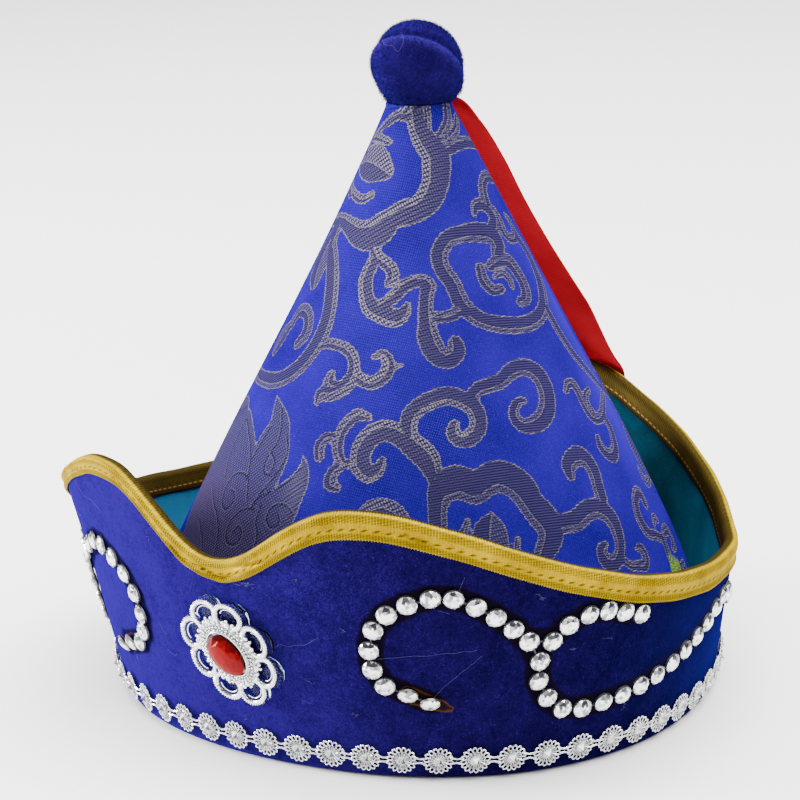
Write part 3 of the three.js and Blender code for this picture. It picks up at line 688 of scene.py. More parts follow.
def paintBrocade():
    paint = Paint("brocade")
    across = paint.number("across")
    down = paint.number("down")
    # the loom can only make an edge in small steps
    steps = (across.wave(1.5).above(0.5, 0.06) + down.wave(1.8).above(0.5, 0.06)) * 0.15 - 0.15
    woven = paint.number("woven") + steps
    line = paint.number("line") + steps * 0.8
    glint = paint.number("glint")
    fine = paint.noise(0.35 * mm, 2.0)
    patches = paint.noise(24 * mm, 2.0)
    streaks = paint.noise(1.0, 2.0, 0.6, paint.stretch(paint.place(), (420, 420, 2600)))
    # the pale threads cross every edge at a slant, so each edge is a row of short dashes
    dashes = (down + across * 0.32).wave(0.66).above(0.5, 0.25)
    fill = woven.above(0.0, 0.06)
    edgeLine = woven.above(0.03, 0.06) * woven.below(0.42, 0.1)
    inner = woven.above(0.55, 0.1)
    innerLine = abs(line).below(0.2, 0.08) * inner
    groove = abs(line - 0.42).below(0.14, 0.08) * inner
    strip = line.below(-0.2, 0.12) * inner
    # the short pale floats of the twill: a little paler in the inner strip, and painted much paler at the
    # charted spots as a painted highlight where they caught the light
    hatch = (across * 0.92 - down * 0.4).wave(0.82) * (down * 0.92 + across * 0.4).wave(1.3)
    hatch = hatch.above(0.3, 0.16)
    floats = hatch * (glint * (0.26 + strip * 0.55) + strip * 0.16) * fill
    vein = abs(paint.number("vein")).below(0.32, 0.12) * paint.number("veinNear").below(0.9, 0.2) * fill
    twill = (down + across * 0.16).wave(0.8)
    ground = paint.ramp(fine * 0.5 + patches * 0.5,
                        (0.32, (0.0050, 0.0006, 0.066)), (0.68, (0.0160, 0.0027, 0.195)))
    # fine pale dots of the weave, painted paler still at the painted highlights
    dots = (across + down * 0.3).wave(0.7) * (down - across * 0.3).wave(0.85)
    ground = paint.blend(dots.above(0.5, 0.2) * (glint * 0.5 + 0.16), ground, (0.034, 0.026, 0.25))
    # the crown is sewn from two panels, and these are the ways to their seams
    toSeam = down * brocadeLook["seamSlope"] - abs(across)
    # painted sheen: a soft band down the right of the cone is painted brighter and bluer, as satin catching
    # the light, and fades out before the seams
    paintedSheen = (abs(across - down * 0.55 - 16).below(9, 10)) * down.above(52, 10) * down.below(125, 25)
    paintedSheen = paintedSheen * toSeam.above(5, 4)
    ground = paint.blend(paintedSheen * 0.42, ground, (0.036, 0.014, 0.34))
    sparks = fine.above(0.64, 0.05) * streaks.above(0.5, 0.1)
    ground = paint.blend(sparks * 0.5, ground, (0.045, 0.035, 0.27))
    motif = paint.ramp(twill * 0.65 + streaks * 0.35, (0.2, (0.009, 0.0066, 0.028)),
                       (0.55, (0.018, 0.014, 0.052)), (0.85, (0.031, 0.026, 0.084)))
    lotus = across.below(brocadeLook["lotusSide"], 2).largest(toSeam.below(18, 3))
    lotus = lotus * down.above(brocadeLook["lotusTop"] + 1, 3)
    motif = paint.blend(lotus * 0.5, motif, (0.013, 0.011, 0.060))
    motif = paint.blend(lotus * (down - across).above(205, 22) * 0.6, motif, (0.022, 0.010, 0.034))
    # the motifs are painted bluer in the painted sheen too
    motif = paint.blend(paintedSheen * 0.35, motif, (0.020, 0.016, 0.12))
    # rows of single pale floats all over the lotus
    rows = (down + across * 0.5).wave(1.15).above(0.5, 0.2)
    floats = floats.largest(rows * (across - down * 0.5).wave(0.95).above(0.45, 0.2) * lotus * fill * 0.2)
    motif = paint.blend(groove * 0.7, motif, (0.009, 0.007, 0.028))
    colour = paint.blend(fill, ground, motif)
    colour = paint.blend(vein * 0.9, colour, (0.004, 0.003, 0.024))
    beside = abs(paint.number("vein") - 0.62).below(0.2, 0.12) * fill
    # the pale lines are painted brighter at the painted highlights
    pale = (edgeLine + innerLine * 0.85 + beside * 0.4) * (dashes * 0.9 + 0.1) * (glint * 0.45 + 0.55)
    colour = paint.blend(floats.largest(pale), colour, (0.20, 0.18, 0.195))
    seam = abs(toSeam).below(0.45, 0.3)
    colour = paint.blend(seam * 0.8, colour, (0.004, 0.001, 0.05))
    greenX, greenY, wide, tall = brocadeLook["greenSpot"]
    green = (abs(across - greenX) / wide).below(1, 0.2) * (abs(down - greenY) / tall).below(1, 0.2)
    colour = paint.blend(green * streaks.above(0.45, 0.08), colour, (0.10, 0.19, 0.004))
    weave = across.wave(0.34) * 0.3 + fine * 0.4
    relief = weave * (1 - fill) + fill * (twill * 0.7 + 0.7) + (pale + floats) * 0.7
    relief = relief - vein * 0.5 - seam * 1.5
    paint.bump(relief, 0.10 * mm, 0.85)
    rough = 0.5 - pale * 0.1 - floats * 0.1 + streaks * 0.08
    return paint.set(Base_Color=colour, Roughness=rough, Sheen_Weight=0.03, Sheen_Roughness=0.3,
                     Sheen_Tint=(0.06, 0.04, 1.0, 1), Specular_IOR_Level=0.0)


makeCrown()
print("the crown is woven")


# Brim: the velvet wall with its pile and the glue round the stones

scrollRows = [
    (36.2, 25.5), (32.5, 28), (28.7, 30.6), (26.7, 35.7), (26.3, 41.9), (27.2, 48.5), (29.5, 53.7),
    (32.8, 57.1), (36.4, 59.3), (39.9, 59.2), (43.3, 56.5), (46.4, 52.9), (49.2, 48.8), (51.8, 44.4),
    (53.8, 37.6), (53.9, 31.1), (55.7, 25.1), (58.6, 20.6), (62.4, 19.4), (66.5, 19.8), (70.4, 20.5),
    (74.3, 21.6), (78.2, 23), (82.1, 24.8), (85.8, 26.8), (89.4, 29), (93, 31.4), (96.5, 34),
    (100.2, 35.8), (103.9, 35), (106.9, 31.8),
]
branchRows = [(55.6, 43.6), (58.1, 48), (61.4, 50.3), (64.7, 50.4), (68, 48.6), (71.5, 46.4)]
forkStone = 13  # the branch starts beside this stone
mirrored = {"turn": 2.2, "rise": 0.945, "drop": 2.6}


def scrollSpots(side):
    spots = []
    for angle, height in scrollRows + branchRows:
        if side > 0:
            spots.append((angle, height * mm))
            continue
        across = mirrored["turn"] - angle
        lower = height * mirrored["rise"] - mirrored["drop"]
        spots.append((across, lower * mm * float(brimRim(across) / brimRim(angle))))
    return spots


def scrollLinks():
    first = len(scrollRows)
    count = first + len(branchRows)
    return [(forkStone, first)] + [(i, i + 1) for i in range(count - 1) if i != first - 1]


velvetLook = {
    "around": 600,
    "rowsUp": 62,
    "pile": 0.25 * mm,
    "wave": 0.22 * mm,
    # how light the velvet looks round the brim, as angle and shade: partly the brushed pile's direction and
    # partly painted light and shade, lighter towards the key lamp
    "brushed": [
        (-180, -0.06), (-100, 0.07), (-45, 0.125), (-12, 0.095), (13, 0.03), (32, -0.022), (51, -0.08),
        (84, -0.16), (105, -0.165), (140, -0.1), (180, -0.06),
    ],
    # partly painted light and partly the pile's direction: the left of the foot is lighter, by this much
    # and up to this height
    "lighterFoot": (0.045, 25 * mm),  # how much lighter the left of the foot is, and up to which height
    "tail": 0.9,  # how far the brown glue goes past the first stone, in steps of two stones
    "noGlue": 30 * mm,
}


def gentleWaves(angle, height):
    turn = np.radians(angle)
    return (np.sin(7 * turn + 90 * height) + np.sin(13 * turn - 130 * height + 1.3)
            + np.sin(23 * turn + 60 * height + 4.1)) / 3


def ringCloth(name, around, stations, heightAt):
    # stations: (rows to the next one, height, off), each a number or a function of the angle
    angles, _ = evenAngles(around, -180, heightAt)
    steps = np.array([station[0] for station in stations])
    ends = np.concatenate([[0], np.cumsum(steps)])
    closed = stations + [stations[0]]
    kept = {}

    def place(u, v):
        angle = angles[np.rint(u * around).astype(int)]
        along = v * ends[-1]
        row = np.clip(np.searchsorted(ends, along + tiny, side="right") - 1, 0, len(steps) - 1)
        share = (along - ends[row]) / steps[row]
        column = np.arange(len(angle))
        kept.update(angle=angle, along=along)
        for k, key in ((1, "height"), (2, "off")):
            values = [station[k](angle) if callable(station[k]) else station[k] for station in closed]
            values = np.stack([np.broadcast_to(value, angle.shape) for value in values])
            kept[key] = values[row, column] * (1 - share) + values[row + 1, column] * share
        return wallPoints(angle, kept["height"], kept["off"])

    return cloth(name, around, ends[-1], place), kept


def awayFrom(points, start, end):
    way = end - start
    t = np.clip(((points - start) @ way) / (way @ way), 0, 1)
    return np.linalg.norm(points - start - t[:, None] * way, axis=1)


def makeVelvet():
    look = velvetLook
    thick = hat["velvetThick"]
    stations = [
        (2, 0.0, -0.5 * mm),
        (2, 0.35 * mm, 0.1 * mm),
        (look["rowsUp"], 1.3 * mm, look["pile"]),
        (1, clothTop, 0.0),
        (8, clothTop, -thick),
        (1, hat["ledge"], -thick),
        (1, hat["ledge"], -hat["ledgeDepth"]),
        (3, 0.0, -hat["ledgeDepth"]),
    ]
    velvet, kept = ringCloth("brim_velvet_pile", look["around"], stations, lambda a: brimRim(a) * 0.5)
    outside = (kept["along"] > 1.5) & (kept["along"] <= 4.5 + look["rowsUp"])
    fade = np.where(outside, np.clip((clothTop(kept["angle"]) - kept["height"]) / (6 * mm), 0, 1), 0)
    lift = look["wave"] * fade * np.clip(kept["height"] / (12 * mm), 0, 1)
    off = kept["off"] + lift * gentleWaves(kept["angle"], kept["height"])
    setPoints(velvet, wallPoints(kept["angle"], kept["height"], off))
    glue = np.full(len(off), look["noGlue"])
    amber = np.full(len(off), look["noGlue"])
    here = wallPoints(kept["angle"], kept["height"], 0)
    for side in (1, -1):
        middles = [wallPoints(np.array(angle), np.array(height), 0) for angle, height in scrollSpots(side)]
        for i, j in scrollLinks():
            glue = np.minimum(glue, awayFrom(here, middles[i], middles[j]))
        tip = (1 + look["tail"]) * middles[0] - look["tail"] * middles[1]
        reach = np.linalg.norm(here - middles[1], axis=1) / np.linalg.norm(tip - middles[1])
        narrower = 1.7 * mm * np.clip(reach, 0, 1.2) ** 2
        amber = np.minimum(amber, awayFrom(here, middles[1], tip) + narrower)
    keepNumber(velvet, "glue", np.where(outside, glue, look["noGlue"]) / mm)
    keepNumber(velvet, "amber", np.where(outside, amber, look["noGlue"]) / mm)
    # painted light and shade, with the pile's direction: the wall is lighter towards the key lamp and
    # darker away from it
    around = wrapDegrees(kept["angle"])
    shade, reach = look["lighterFoot"]
    lighter = shade * np.clip(1 - kept["height"] / reach, 0, 1) * smoothStep((45 - around) / 40)
    keepNumber(velvet, "nap", smoothCurve(*zip(*look["brushed"]))(around) + lighter)
    closeUp(velvet)
    smoothShade(velvet, 50)
    return finishPiece(velvet, paintVelvet("velvet_wall", True), "velvet", "brim_velvet")


def paintVelvet(name, glued):
    paint = Paint(name)
    pile = paint.noise(0.5 * mm, 3.0, 0.7)
    tufts = paint.noise(1.6 * mm, 3.0, 0.6)
    brushed = paint.noise(8 * mm, 4.0, 0.6)
    broad = paint.noise(34 * mm, 2.0, 0.5)
    # the painted light and shade round the wall moves the ramp
    shade = pile * 0.44 + tufts * 0.2 + brushed * 0.2 + broad * 0.16 + paint.number("nap") + 0.016
    colour = paint.ramp(shade, (0.35, (0.0013, 0.0004, 0.010)), (0.5, (0.0052, 0.0011, 0.038)),
                        (0.65, (0.0135, 0.0040, 0.098)))
    speck = pile.above(0.66, 0.05) * tufts.above(0.5, 0.12)
    colour = paint.blend(speck * 0.4, colour, (0.03, 0.024, 0.21))
    rough = 0.9
    if glued:
        soft = paint.number("glue") + paint.noise(2.2 * mm, 3.0) * 1.6 - 0.8
        stain = soft.below(3.95, 0.6)
        colour = paint.blend(stain * 0.94, colour, (0.0030, 0.0018, 0.0022))
        ooze = paint.number("amber") + paint.noise(1.8 * mm, 2.0) * 1.8 - 0.9
        amber = ooze.below(2.8, 0.35)
        brown = paint.ramp(ooze * 0.3, (0.45, (0.007, 0.003, 0.0007)), (0.68, (0.014, 0.005, 0.0008)),
                           (0.82, (0.062, 0.026, 0.002)))
        colour = paint.blend(amber * 0.94, colour, brown)
        rough = 0.9 - stain * 0.3 - amber * 0.4
    paint.bump(pile * 0.6 + tufts * 0.25 + brushed * 0.15, 0.45 * mm, 0.7)
    if not glued:
        colour = paint.blend(0.12, colour, (0.016, 0.006, 0.11))
        # painted shade in the dent and low on the ball, and a painted highlight along its fold
        colour = paint.blend(paint.number("shade") * 0.42, colour, (0.0012, 0.0006, 0.012))
        colour = paint.blend(paint.number("lit") * pile.above(0.4, 0.2) * 0.8, colour, (0.026, 0.012, 0.16))
    return paint.set(Base_Color=colour, Roughness=rough, Sheen_Weight=0.15, Sheen_Roughness=0.4,
                     Sheen_Tint=(0.07, 0.06, 1.0, 1), Specular_IOR_Level=0.0)


makeVelvet()
print("the velvet is on")


# Lining: teal satin on the inside of the brim, a little puckered

liningLook = {
    "around": 420,
    "pucker": 0.55 * mm,
    # painted shade: the lining is painted darker round this angle
    "away": (162, 34),  # the angle that the lamps reach least, and how far round
}


def makeLining():
    look = liningLook
    near = -hat["velvetThick"] - hat["gap"]
    far = near - hat["liningThick"]
    low = hat["ledge"] + hat["gap"]
    stations = [(6, low, near), (1, clothTop, near), (44, clothTop, far), (1, low, far)]
    lining, kept = ringCloth("brim_lining_satin", look["around"], stations, lambda a: brimRim(a) * 0.6)
    inside = kept["along"] > 6.5
    height = kept["height"] / np.maximum(clothTop(kept["angle"]), 1 * mm)
    arch = np.clip(4 * height * (1 - height), 0, 1)
    turn = np.radians(kept["angle"])
    pucker = (np.sin(31 * turn + 2 * height) + np.sin(47 * turn - 3 * height + 2) + 2) / 4
    pull = np.where(inside, look["pucker"] * pucker * arch, 0)
    setPoints(lining, wallPoints(kept["angle"], kept["height"], kept["off"] - pull))
    keepNumber(lining, "away", bell(kept["angle"], *look["away"]))
    closeUp(lining)
    smoothShade(lining, 50)
    return finishPiece(lining, paintLining(), "lining", "brim_lining")


def paintLining():
    paint = Paint("lining_satin")
    threads = paint.noise(1.0, 2.0, 0.5, paint.stretch(paint.place(), (900, 900, 5200)))
    fine = paint.noise(0.5 * mm, 2.0)
    # painted shade round the angle that the lamps reach least
    shade = paint.noise(17 * mm, 3.0) * 0.6 + threads * 0.25 + fine * 0.15 - paint.number("away") * 0.42
    colour = paint.ramp(shade, (0.0, (0.003, 0.015, 0.024)), (0.3, (0.006, 0.050, 0.094)),
                        (0.75, (0.016, 0.112, 0.215)))
    paint.bump(threads * 0.6 + fine * 0.4, 0.08 * mm, 0.6)
    return paint.set(Base_Color=colour, Roughness=0.42 + threads * 0.14, Sheen_Weight=0.08,
                     Sheen_Tint=(0.1, 0.8, 1.0, 1), Specular_IOR_Level=0.0)


makeLining()


# Binding: ribbed gold tape folded over the rim

bindingLook = {
    "ribs": 800,
    "edgeRib": 0.14 * mm,
    "flatRib": 0.045 * mm,
    "loop": 0.12 * mm,
    "drop": 8.0,
    "perRib": 3,  # columns to each rib
    "ripple": 0.16,
    "notches": [(3.0, -45, 20), (2.2, -18, 12), (1.7, -3, 8)],  # how much narrower, where and how far round
    "creaseDepth": 1.5,
    "crease": (0, 0.42),  # how far from a crease's line it is deepest, and how wide it is
    "welt": (1.1, 0.55),  # the same for the swelling beside it
    "weltShare": 0.45,
}

# height from the rim, how far out from the wall and how deep the ribs are there, in millimetres
bindingSkin = [
    (-8.0, 0.62, 1), (-7.95, 0.85, 1), (-7.6, 1.0, 1), (-6.9, 1.05, 1), (-6.2, 1.0, 0.8),
    (-5.6, 0.84, 0.45), (-4.9, 0.82, 0.35), (-4.1, 0.84, 0.35), (-3.3, 0.9, 0.45), (-2.6, 0.98, 0.8),
    (-1.9, 0.98, 1), (-1.2, 0.88, 1), (-0.6, 0.6, 1), (-0.2, 0.1, 0.8), (-0.1, -0.9, 0.8),
    (-0.2, -1.8, 0.8), (-0.6, -2.6, 0.9), (-1.2, -3.1, 1), (-2.1, -3.4, 1), (-3.2, -3.42, 0.3),
    (-4.3, -3.4, 0.2), (-5.3, -3.44, 0.4), (-6.2, -3.5, 1), (-7.0, -3.5, 1), (-7.4, -3.3, 1),
]
bindingBack = [
    (-7.3, -2.95), (-4, -2.9), (-1.4, -2.85), (-1.1, -2.2), (-1.1, -0.3), (-1.5, 0.35), (-4.5, 0.36),
    (-8.1, 0.38),
]
# creases in the tape: from angle, height to angle, height, and how deep
bindingCreases = [
    (-14, -3.0, -6, -5.6, 0.35), (-7, -1.6, 3, -6.4, 0.55), (0, -1.8, 12, -5.8, 0.5),
    (-3, -4.4, 5, -5.2, 0.45), (5, -3.4, 11, -6.6, 0.4), (-10, -5.0, -2, -2.0, 0.35),
    (27, -4.6, 33, -3.0, 0.3), (30, -3.2, 38, -5.8, 0.4), (14, -5.0, 22, -6.2, 0.25),
    (-40, -3.2, -33, -5.0, 0.25), (62, -5.2, 74, -4.2, 0.22), (150, -3, 160, -5.5, 0.3),
    (-120, -2.6, -110, -5.6, 0.3), (-84, -4.8, -74, -3.6, 0.22),
]


def makeBinding():
    look = bindingLook
    around = look["ribs"] * look["perRib"]
    angles, run = evenAngles(around, -180, brimRim)
    skin = len(bindingSkin)
    section = bindingSkin + [(height, off, 0.0) for height, off in bindingBack] + bindingSkin[:1]
    heights, offs, ribs = np.array(section).T
    tangent = np.stack([np.gradient(heights), np.gradient(offs)], axis=1)
    tangent /= np.linalg.norm(tangent, axis=1, keepdims=True)
    outward = np.stack([-tangent[:, 1], tangent[:, 0]], axis=1)
    rows = len(heights) - 1
    kept = {}

    def place(u, v):
        column = np.rint(u * around).astype(int)
        row = np.rint(v * rows).astype(int)
        angle = angles[column]
        where = wrapDegrees(angle)
        notch = sum(amount * bell(where, centre, width) for amount, centre, width in look["notches"])
        height = heights[row] * (1 - notch / look["drop"])
        off = offs[row].copy()
        crest = np.where(column % look["perRib"] == 0, 1.0, 0.0)
        depth = ribs[row] * look["edgeRib"] / mm + look["flatRib"] / mm
        isSkin = row < skin
        lift = (crest - 0.5) * depth * isSkin
        turn = np.radians(angle)
        ripples = (np.sin(19 * turn + height * 0.4) + np.sin(33 * turn - height * 0.5 + 2)) / 2
        lift = lift + isSkin * look["ripple"] * ripples
        front = isSkin & (off > 0.3)
        mmAlong = run / mm / 360
        for fromAngle, fromHeight, toAngle, toHeight, deep in bindingCreases:
            wayX, wayY = (toAngle - fromAngle) * mmAlong, toHeight - fromHeight
            gapX, gapY = (angle - fromAngle) * mmAlong, height - fromHeight
            t = np.clip((gapX * wayX + gapY * wayY) / (wayX ** 2 + wayY ** 2), 0, 1)
            away = np.hypot(gapX - t * wayX, gapY - t * wayY)
            fade = np.sin(np.pi * np.clip(t, 0.06, 0.94))
            dip = bell(away, *look["crease"]) - look["weltShare"] * bell(away, *look["welt"])
            lift = lift - front * deep * look["creaseDepth"] * fade * dip
        height = height + lift * outward[row, 0]
        off = off + lift * outward[row, 1]
        rimLoop = np.isin(row, (0, 1, skin - 1)) | (row == rows)
        height = height - rimLoop * crest * look["loop"] / mm
        kept.update(rib=crest, low=np.abs(heights[row]), run=u * run / mm, off=offs[row])
        return wallPoints(angle, brimRim(angle) + height * mm, off * mm)

    binding = cloth("brim_binding_tape", around, rows, place)
    for name, values in kept.items():
        keepNumber(binding, name, values)
    closeUp(binding, 0.002 * mm)
    smoothShade(binding, 70)
    return finishPiece(binding, paintBinding(), "binding", "brim_binding")


def paintBinding():
    paint = Paint("gold_tape")
    rib = paint.number("rib")
    low = paint.number("low")
    run = paint.number("run")
    within = paint.number("off").below(-0.75, 0.5)
    knitted = low.above(5.9, 0.35) + low.below(2.7, 0.35)
    knit = (low + run * 0.3).wave(0.8)
    # painted shade in the hollows between the ribs
    valleyShade = (1 - rib).above(0.35, 0.3) * (knitted * 0.6 + 0.2) * (knit * 0.55 + 0.45)
    edge = low.above(7.6, 0.2) + low.below(0.5, 0.3)
    stitch = abs(low - 4.9).below(0.42, 0.16) * (run + low * 1.6).wave(3.4).above(0.66, 0.16)
    fine = paint.noise(0.45 * mm, 2.0)
    patch = paint.noise(9 * mm, 3.0)
    colour = paint.ramp(fine * 0.4 + patch * 0.6, (0.32, (0.15, 0.088, 0.0)), (0.68, (0.48, 0.320, 0.0)))
    colour = paint.blend(low.above(5.9, 0.6) * 0.5, colour, (0.13, 0.085, 0.0))
    colour = paint.blend(valleyShade, colour, (0.045, 0.028, 0.0))
    colour = paint.blend(edge * 0.3, colour, (0.5, 0.37, 0.01))
    colour = paint.blend(stitch * 0.85, colour, (0.05, 0.03, 0.0))
    # painted shade: the inner face of the tape is painted dark brown, darker still between the ribs
    shaded = paint.blend(valleyShade, (0.027, 0.018, 0.005), (0.008, 0.005, 0.002))
    colour = paint.blend(within * 0.95, colour, shaded)
    thread = abs(low - 5.6).below(0.2, 0.08) * run.wave(2.4).above(0.35, 0.12) * within
    colour = paint.blend(thread * 0.85, colour, (0.22, 0.11, 0.03))
    relief = fine * 0.5 + rib * 0.3 - stitch * 0.9
    paint.bump(relief, 0.10 * mm, 0.6)
    return paint.set(Base_Color=colour, Roughness=0.4 + fine * 0.14 - edge * 0.06, Metallic=0.3,
                     Specular_IOR_Level=0.0)


makeBinding()
print("the brim is lined and bound")


# Thin round strands, such as threads, links and lint

def strands(name, routes, radius, sides=2):
    pickNothing()
    curve = bpy.data.curves.new(name, "CURVE")
    curve.dimensions = "3D"
    curve.bevel_depth = radius
    curve.bevel_resolution = sides
    curve.use_fill_caps = True
    for route in routes:
        spline = curve.splines.new("POLY")
        spline.points.add(len(route) - 1)
        for point, spot in zip(spline.points, route):
            point.co = (*spot, 1)
    piece = bpy.data.objects.new(name, curve)
    bpy.context.collection.objects.link(piece)
    pick(piece)
    bpy.ops.object.convert(target="MESH")
    return bpy.context.object


def toneFaces(piece, name, toneOf):
    attribute = piece.data.attributes.new(name, "FLOAT", "FACE")
    attribute.data.foreach_set("value", [toneOf(face) for face in piece.data.polygons])


def paintSilver(name, tone=(0.90, 0.905, 0.915), rough=0.22, dark=0.35):
    paint = Paint(name)
    grain = paint.noise(0.7 * mm, 3.0)
    dull = paint.noise(6 * mm, 2.0)
    colour = paint.blend(grain.above(0.62, 0.12) * dark, tone, (0.30, 0.31, 0.34))
    # painted reflections: faces marked dark are painted near black, on one side of each rosette's point,
    # every other flute of its button and the cuts and holes of the flower's loops; the links, the plate and
    # the foot of the bezel are also marked dark all over
    colour = paint.blend(paint.number("dark") * 0.9, colour, (0.03, 0.03, 0.035))
    paint.bump(grain, 0.05 * mm, 0.4)
    return paint.set(Base_Color=colour, Metallic=0.92, Roughness=rough + dull * 0.12)


# Rosette trim: openwork rosettes joined by two threads

rosetteLook = {
    "count": 56,
    "first": 4.3,  # the angle of the first one
    "height": 6.5 * mm,
    "off": 0.45 * mm,
    "turned": 0.2,  # how far each may be turned, in radians
    "petals": 16,
    "petalAt": (3.42 * mm, 0, 0.66 * mm),
    "petalRing": (0.62 * mm, 0.18 * mm),
    "petalShape": (1.35, 0.98, 1.3),
    "beadAt": (4.22 * mm, 0, 0.66 * mm),
    "bead": 0.36 * mm,
    "spokeAt": (1.85 * mm, 0, 1.12 * mm),
    "spokeLean": 68,
    "flute": 0.8,  # every other corner of the button's foot is drawn in by this
    "point": (1.45 * mm, 1.3 * mm),
    "thread": 0.34 * mm,
    "threadLift": 0.6 * mm,
    "threadGap": 0.62 * mm,  # half the space between the threads where they are closest
    "threadSpread": 1.7,
    "threadEnds": 3.3 * mm,
    "threadMiddle": 4.9 * mm,
}


def rosetteTone(face):
    # painted reflection: one side of the point and every other flute of the button are painted dark, as
    # mirrors of the dark round them
    out = face.center.to_2d()
    if out.length < rosetteLook["point"][0] and face.center.z > 1.2 * mm:
        return 1.0 if face.normal.x > 0.3 else 0.1
    flute = math.sin(rosetteLook["petals"] * math.atan2(out.y, out.x))
    return 0.65 if out.length < 3.1 * mm and flute > 0.1 else 0.05


def modelRosette():
    look = rosetteLook
    pickNothing()
    wide, thick = look["petalRing"]
    bpy.ops.mesh.primitive_torus_add(major_segments=10, minor_segments=5, major_radius=wide,
                                     minor_radius=thick, location=look["petalAt"])
    loop = nameIt("petalLoop")
    bpy.ops.object.mode_set(mode="EDIT")
    bpy.ops.transform.resize(value=look["petalShape"])
    bpy.ops.object.mode_set(mode="OBJECT")
    bpy.ops.mesh.primitive_ico_sphere_add(subdivisions=1, radius=look["bead"], location=look["beadAt"])
    bead = nameIt("petalBead")
    lean = math.radians(look["spokeLean"])
    bpy.ops.mesh.primitive_cone_add(vertices=5, radius1=0.30 * mm, radius2=0.18 * mm, depth=1.9 * mm,
                                    rotation=(0, lean, 0), location=look["spokeAt"])
    spoke = nameIt("petalSpoke")
    petal = joinPieces("petal", [loop, bead, spoke])
    settle(petal)
    turns = [Matrix.Rotation(tau * (k + 0.5) / look["petals"], 4, "Z") for k in range(look["petals"])]
    ring = scatterCopies("petals", petal, turns)
    bpy.ops.mesh.primitive_cone_add(vertices=32, radius1=2.45 * mm, radius2=1.0 * mm, depth=0.85 * mm,
                                    location=(0, 0, 0.95 * mm))
    button = nameIt("button")
    points = pointsOf(button)
    groove = np.where(np.arange(len(points)) // 2 % 2 == 0, 1.0, look["flute"])
    low = points[:, 2] < 0
    points[low, :2] *= groove[low, None]
    setPoints(button, points)
    wide, tall = look["point"]
    bpy.ops.mesh.primitive_cone_add(vertices=4, radius1=wide, radius2=0.0, depth=tall,
                                    rotation=(0, 0, tau / 8 + 0.15), location=(0, 0, 1.85 * mm))
    point = settle(nameIt("point"))
    rosette = settle(joinPieces("rosette", [ring, button, point]))
    toneFaces(rosette, "dark", rosetteTone)
    return rosette


def makeTrim():
    look = rosetteLook
    angles, _ = evenAngles(look["count"], look["first"], lambda a: np.full(np.shape(a), look["height"]))
    places = []
    for angle in angles[:-1]:
        turn = Matrix.Rotation(random.uniform(-look["turned"], look["turned"]), 4, "Z")
        places.append(wallPlace(angle, look["height"], look["off"]) @ turn)
    rosettes = scatterCopies("trim_rosettes", modelRosette(), places)
    routes = []
    seats = [wallPlace(angle, look["height"], look["off"] + look["threadLift"]) for angle in angles]
    ends, half = look["threadEnds"], look["threadMiddle"]
    for here, there in zip(seats[:-1], seats[1:]):
        for up in (look["threadGap"], -look["threadGap"]):
            start = here @ Vector((ends, up * look["threadSpread"], 0))
            end = there @ Vector((-ends, up * look["threadSpread"], 0))
            middle = (here @ Vector((half, up, 0)) + there @ Vector((-half, up, 0))) / 2
            routes.append([start, (start + middle * 2) / 3, middle, (end + middle * 2) / 3, end])
    threads = strands("trim_threads", routes, look["thread"])
    trim = joinPieces("rosette_trim_openwork", [threads, rosettes])
    smoothShade(trim, 45)
    silver = paintSilver("trim_silver", (0.82, 0.82, 0.83), 0.2, 0.5)
    return finishPiece(trim, silver, "silver", "rosette_trim")


makeTrim()
print("the rosettes are on")


# Cut stones: rings of corners, closed by their hull

def cutStone(name, rings, stretch=(1, 1)):
    pickNothing()
    for k, (sides, radius, height, turn) in enumerate(rings):
        bpy.ops.mesh.primitive_circle_add(vertices=sides, radius=radius, location=(0, 0, height),
                                          rotation=(0, 0, turn * tau / sides))
        if k == 0:
            stone = settle(nameIt(name))
            bpy.ops.object.mode_set(mode="EDIT")
    bpy.ops.mesh.select_all(action="SELECT")
    bpy.ops.transform.resize(value=(stretch[0], stretch[1], 1))
    bpy.ops.mesh.convex_hull()
    bpy.ops.mesh.normals_make_consistent(inside=False)
    bpy.ops.object.mode_set(mode="OBJECT")
    return stone


stoneLook = {
    "off": 0.4 * mm,
    "radius": 2.88 * mm,
    "cup": 3.0 * mm,
    "cupDepth": 0.62 * mm,
    "lip": 0.2 * mm,
    "hollow": 0.25 * mm,
    "claw": 0.36 * mm,
    "clawAt": (2.78 * mm, 0.72 * mm),  # how far out and how high
    "link": 0.32 * mm,
    "loose": 0.07,  # how far each stone may lean, in radians
    "tipped": (0.55, 0.42),  # the first two stones lean down
}


def modelCup():
    look = stoneLook
    pickNothing()
    bpy.ops.mesh.primitive_cylinder_add(vertices=20, radius=look["cup"], depth=look["cupDepth"],
                                        location=(0, 0, look["cupDepth"] / 2), end_fill_type="NGON")
    cup = settle(nameIt("cup"))
    bpy.ops.object.mode_set(mode="EDIT")
    bpy.ops.mesh.select_all(action="DESELECT")
    bpy.ops.object.mode_set(mode="OBJECT")
    for face in cup.data.polygons:
        face.select = face.normal.z > 0.9
    bpy.ops.object.mode_set(mode="EDIT")
    bpy.ops.mesh.inset(thickness=look["lip"], depth=0)
    bpy.ops.transform.translate(value=(0, 0, -look["hollow"]))
    bpy.ops.object.mode_set(mode="OBJECT")
    claws = []
    out, lift = look["clawAt"]
    for k in range(4):
        turn = tau * (k + 0.5) / 4
        spot = (out * math.cos(turn), out * math.sin(turn), lift)
        bpy.ops.mesh.primitive_ico_sphere_add(subdivisions=1, radius=look["claw"], location=spot)
        claws.append(nameIt("claw"))
    cup = joinPieces("cup", claws + [cup])
    return settle(cup)


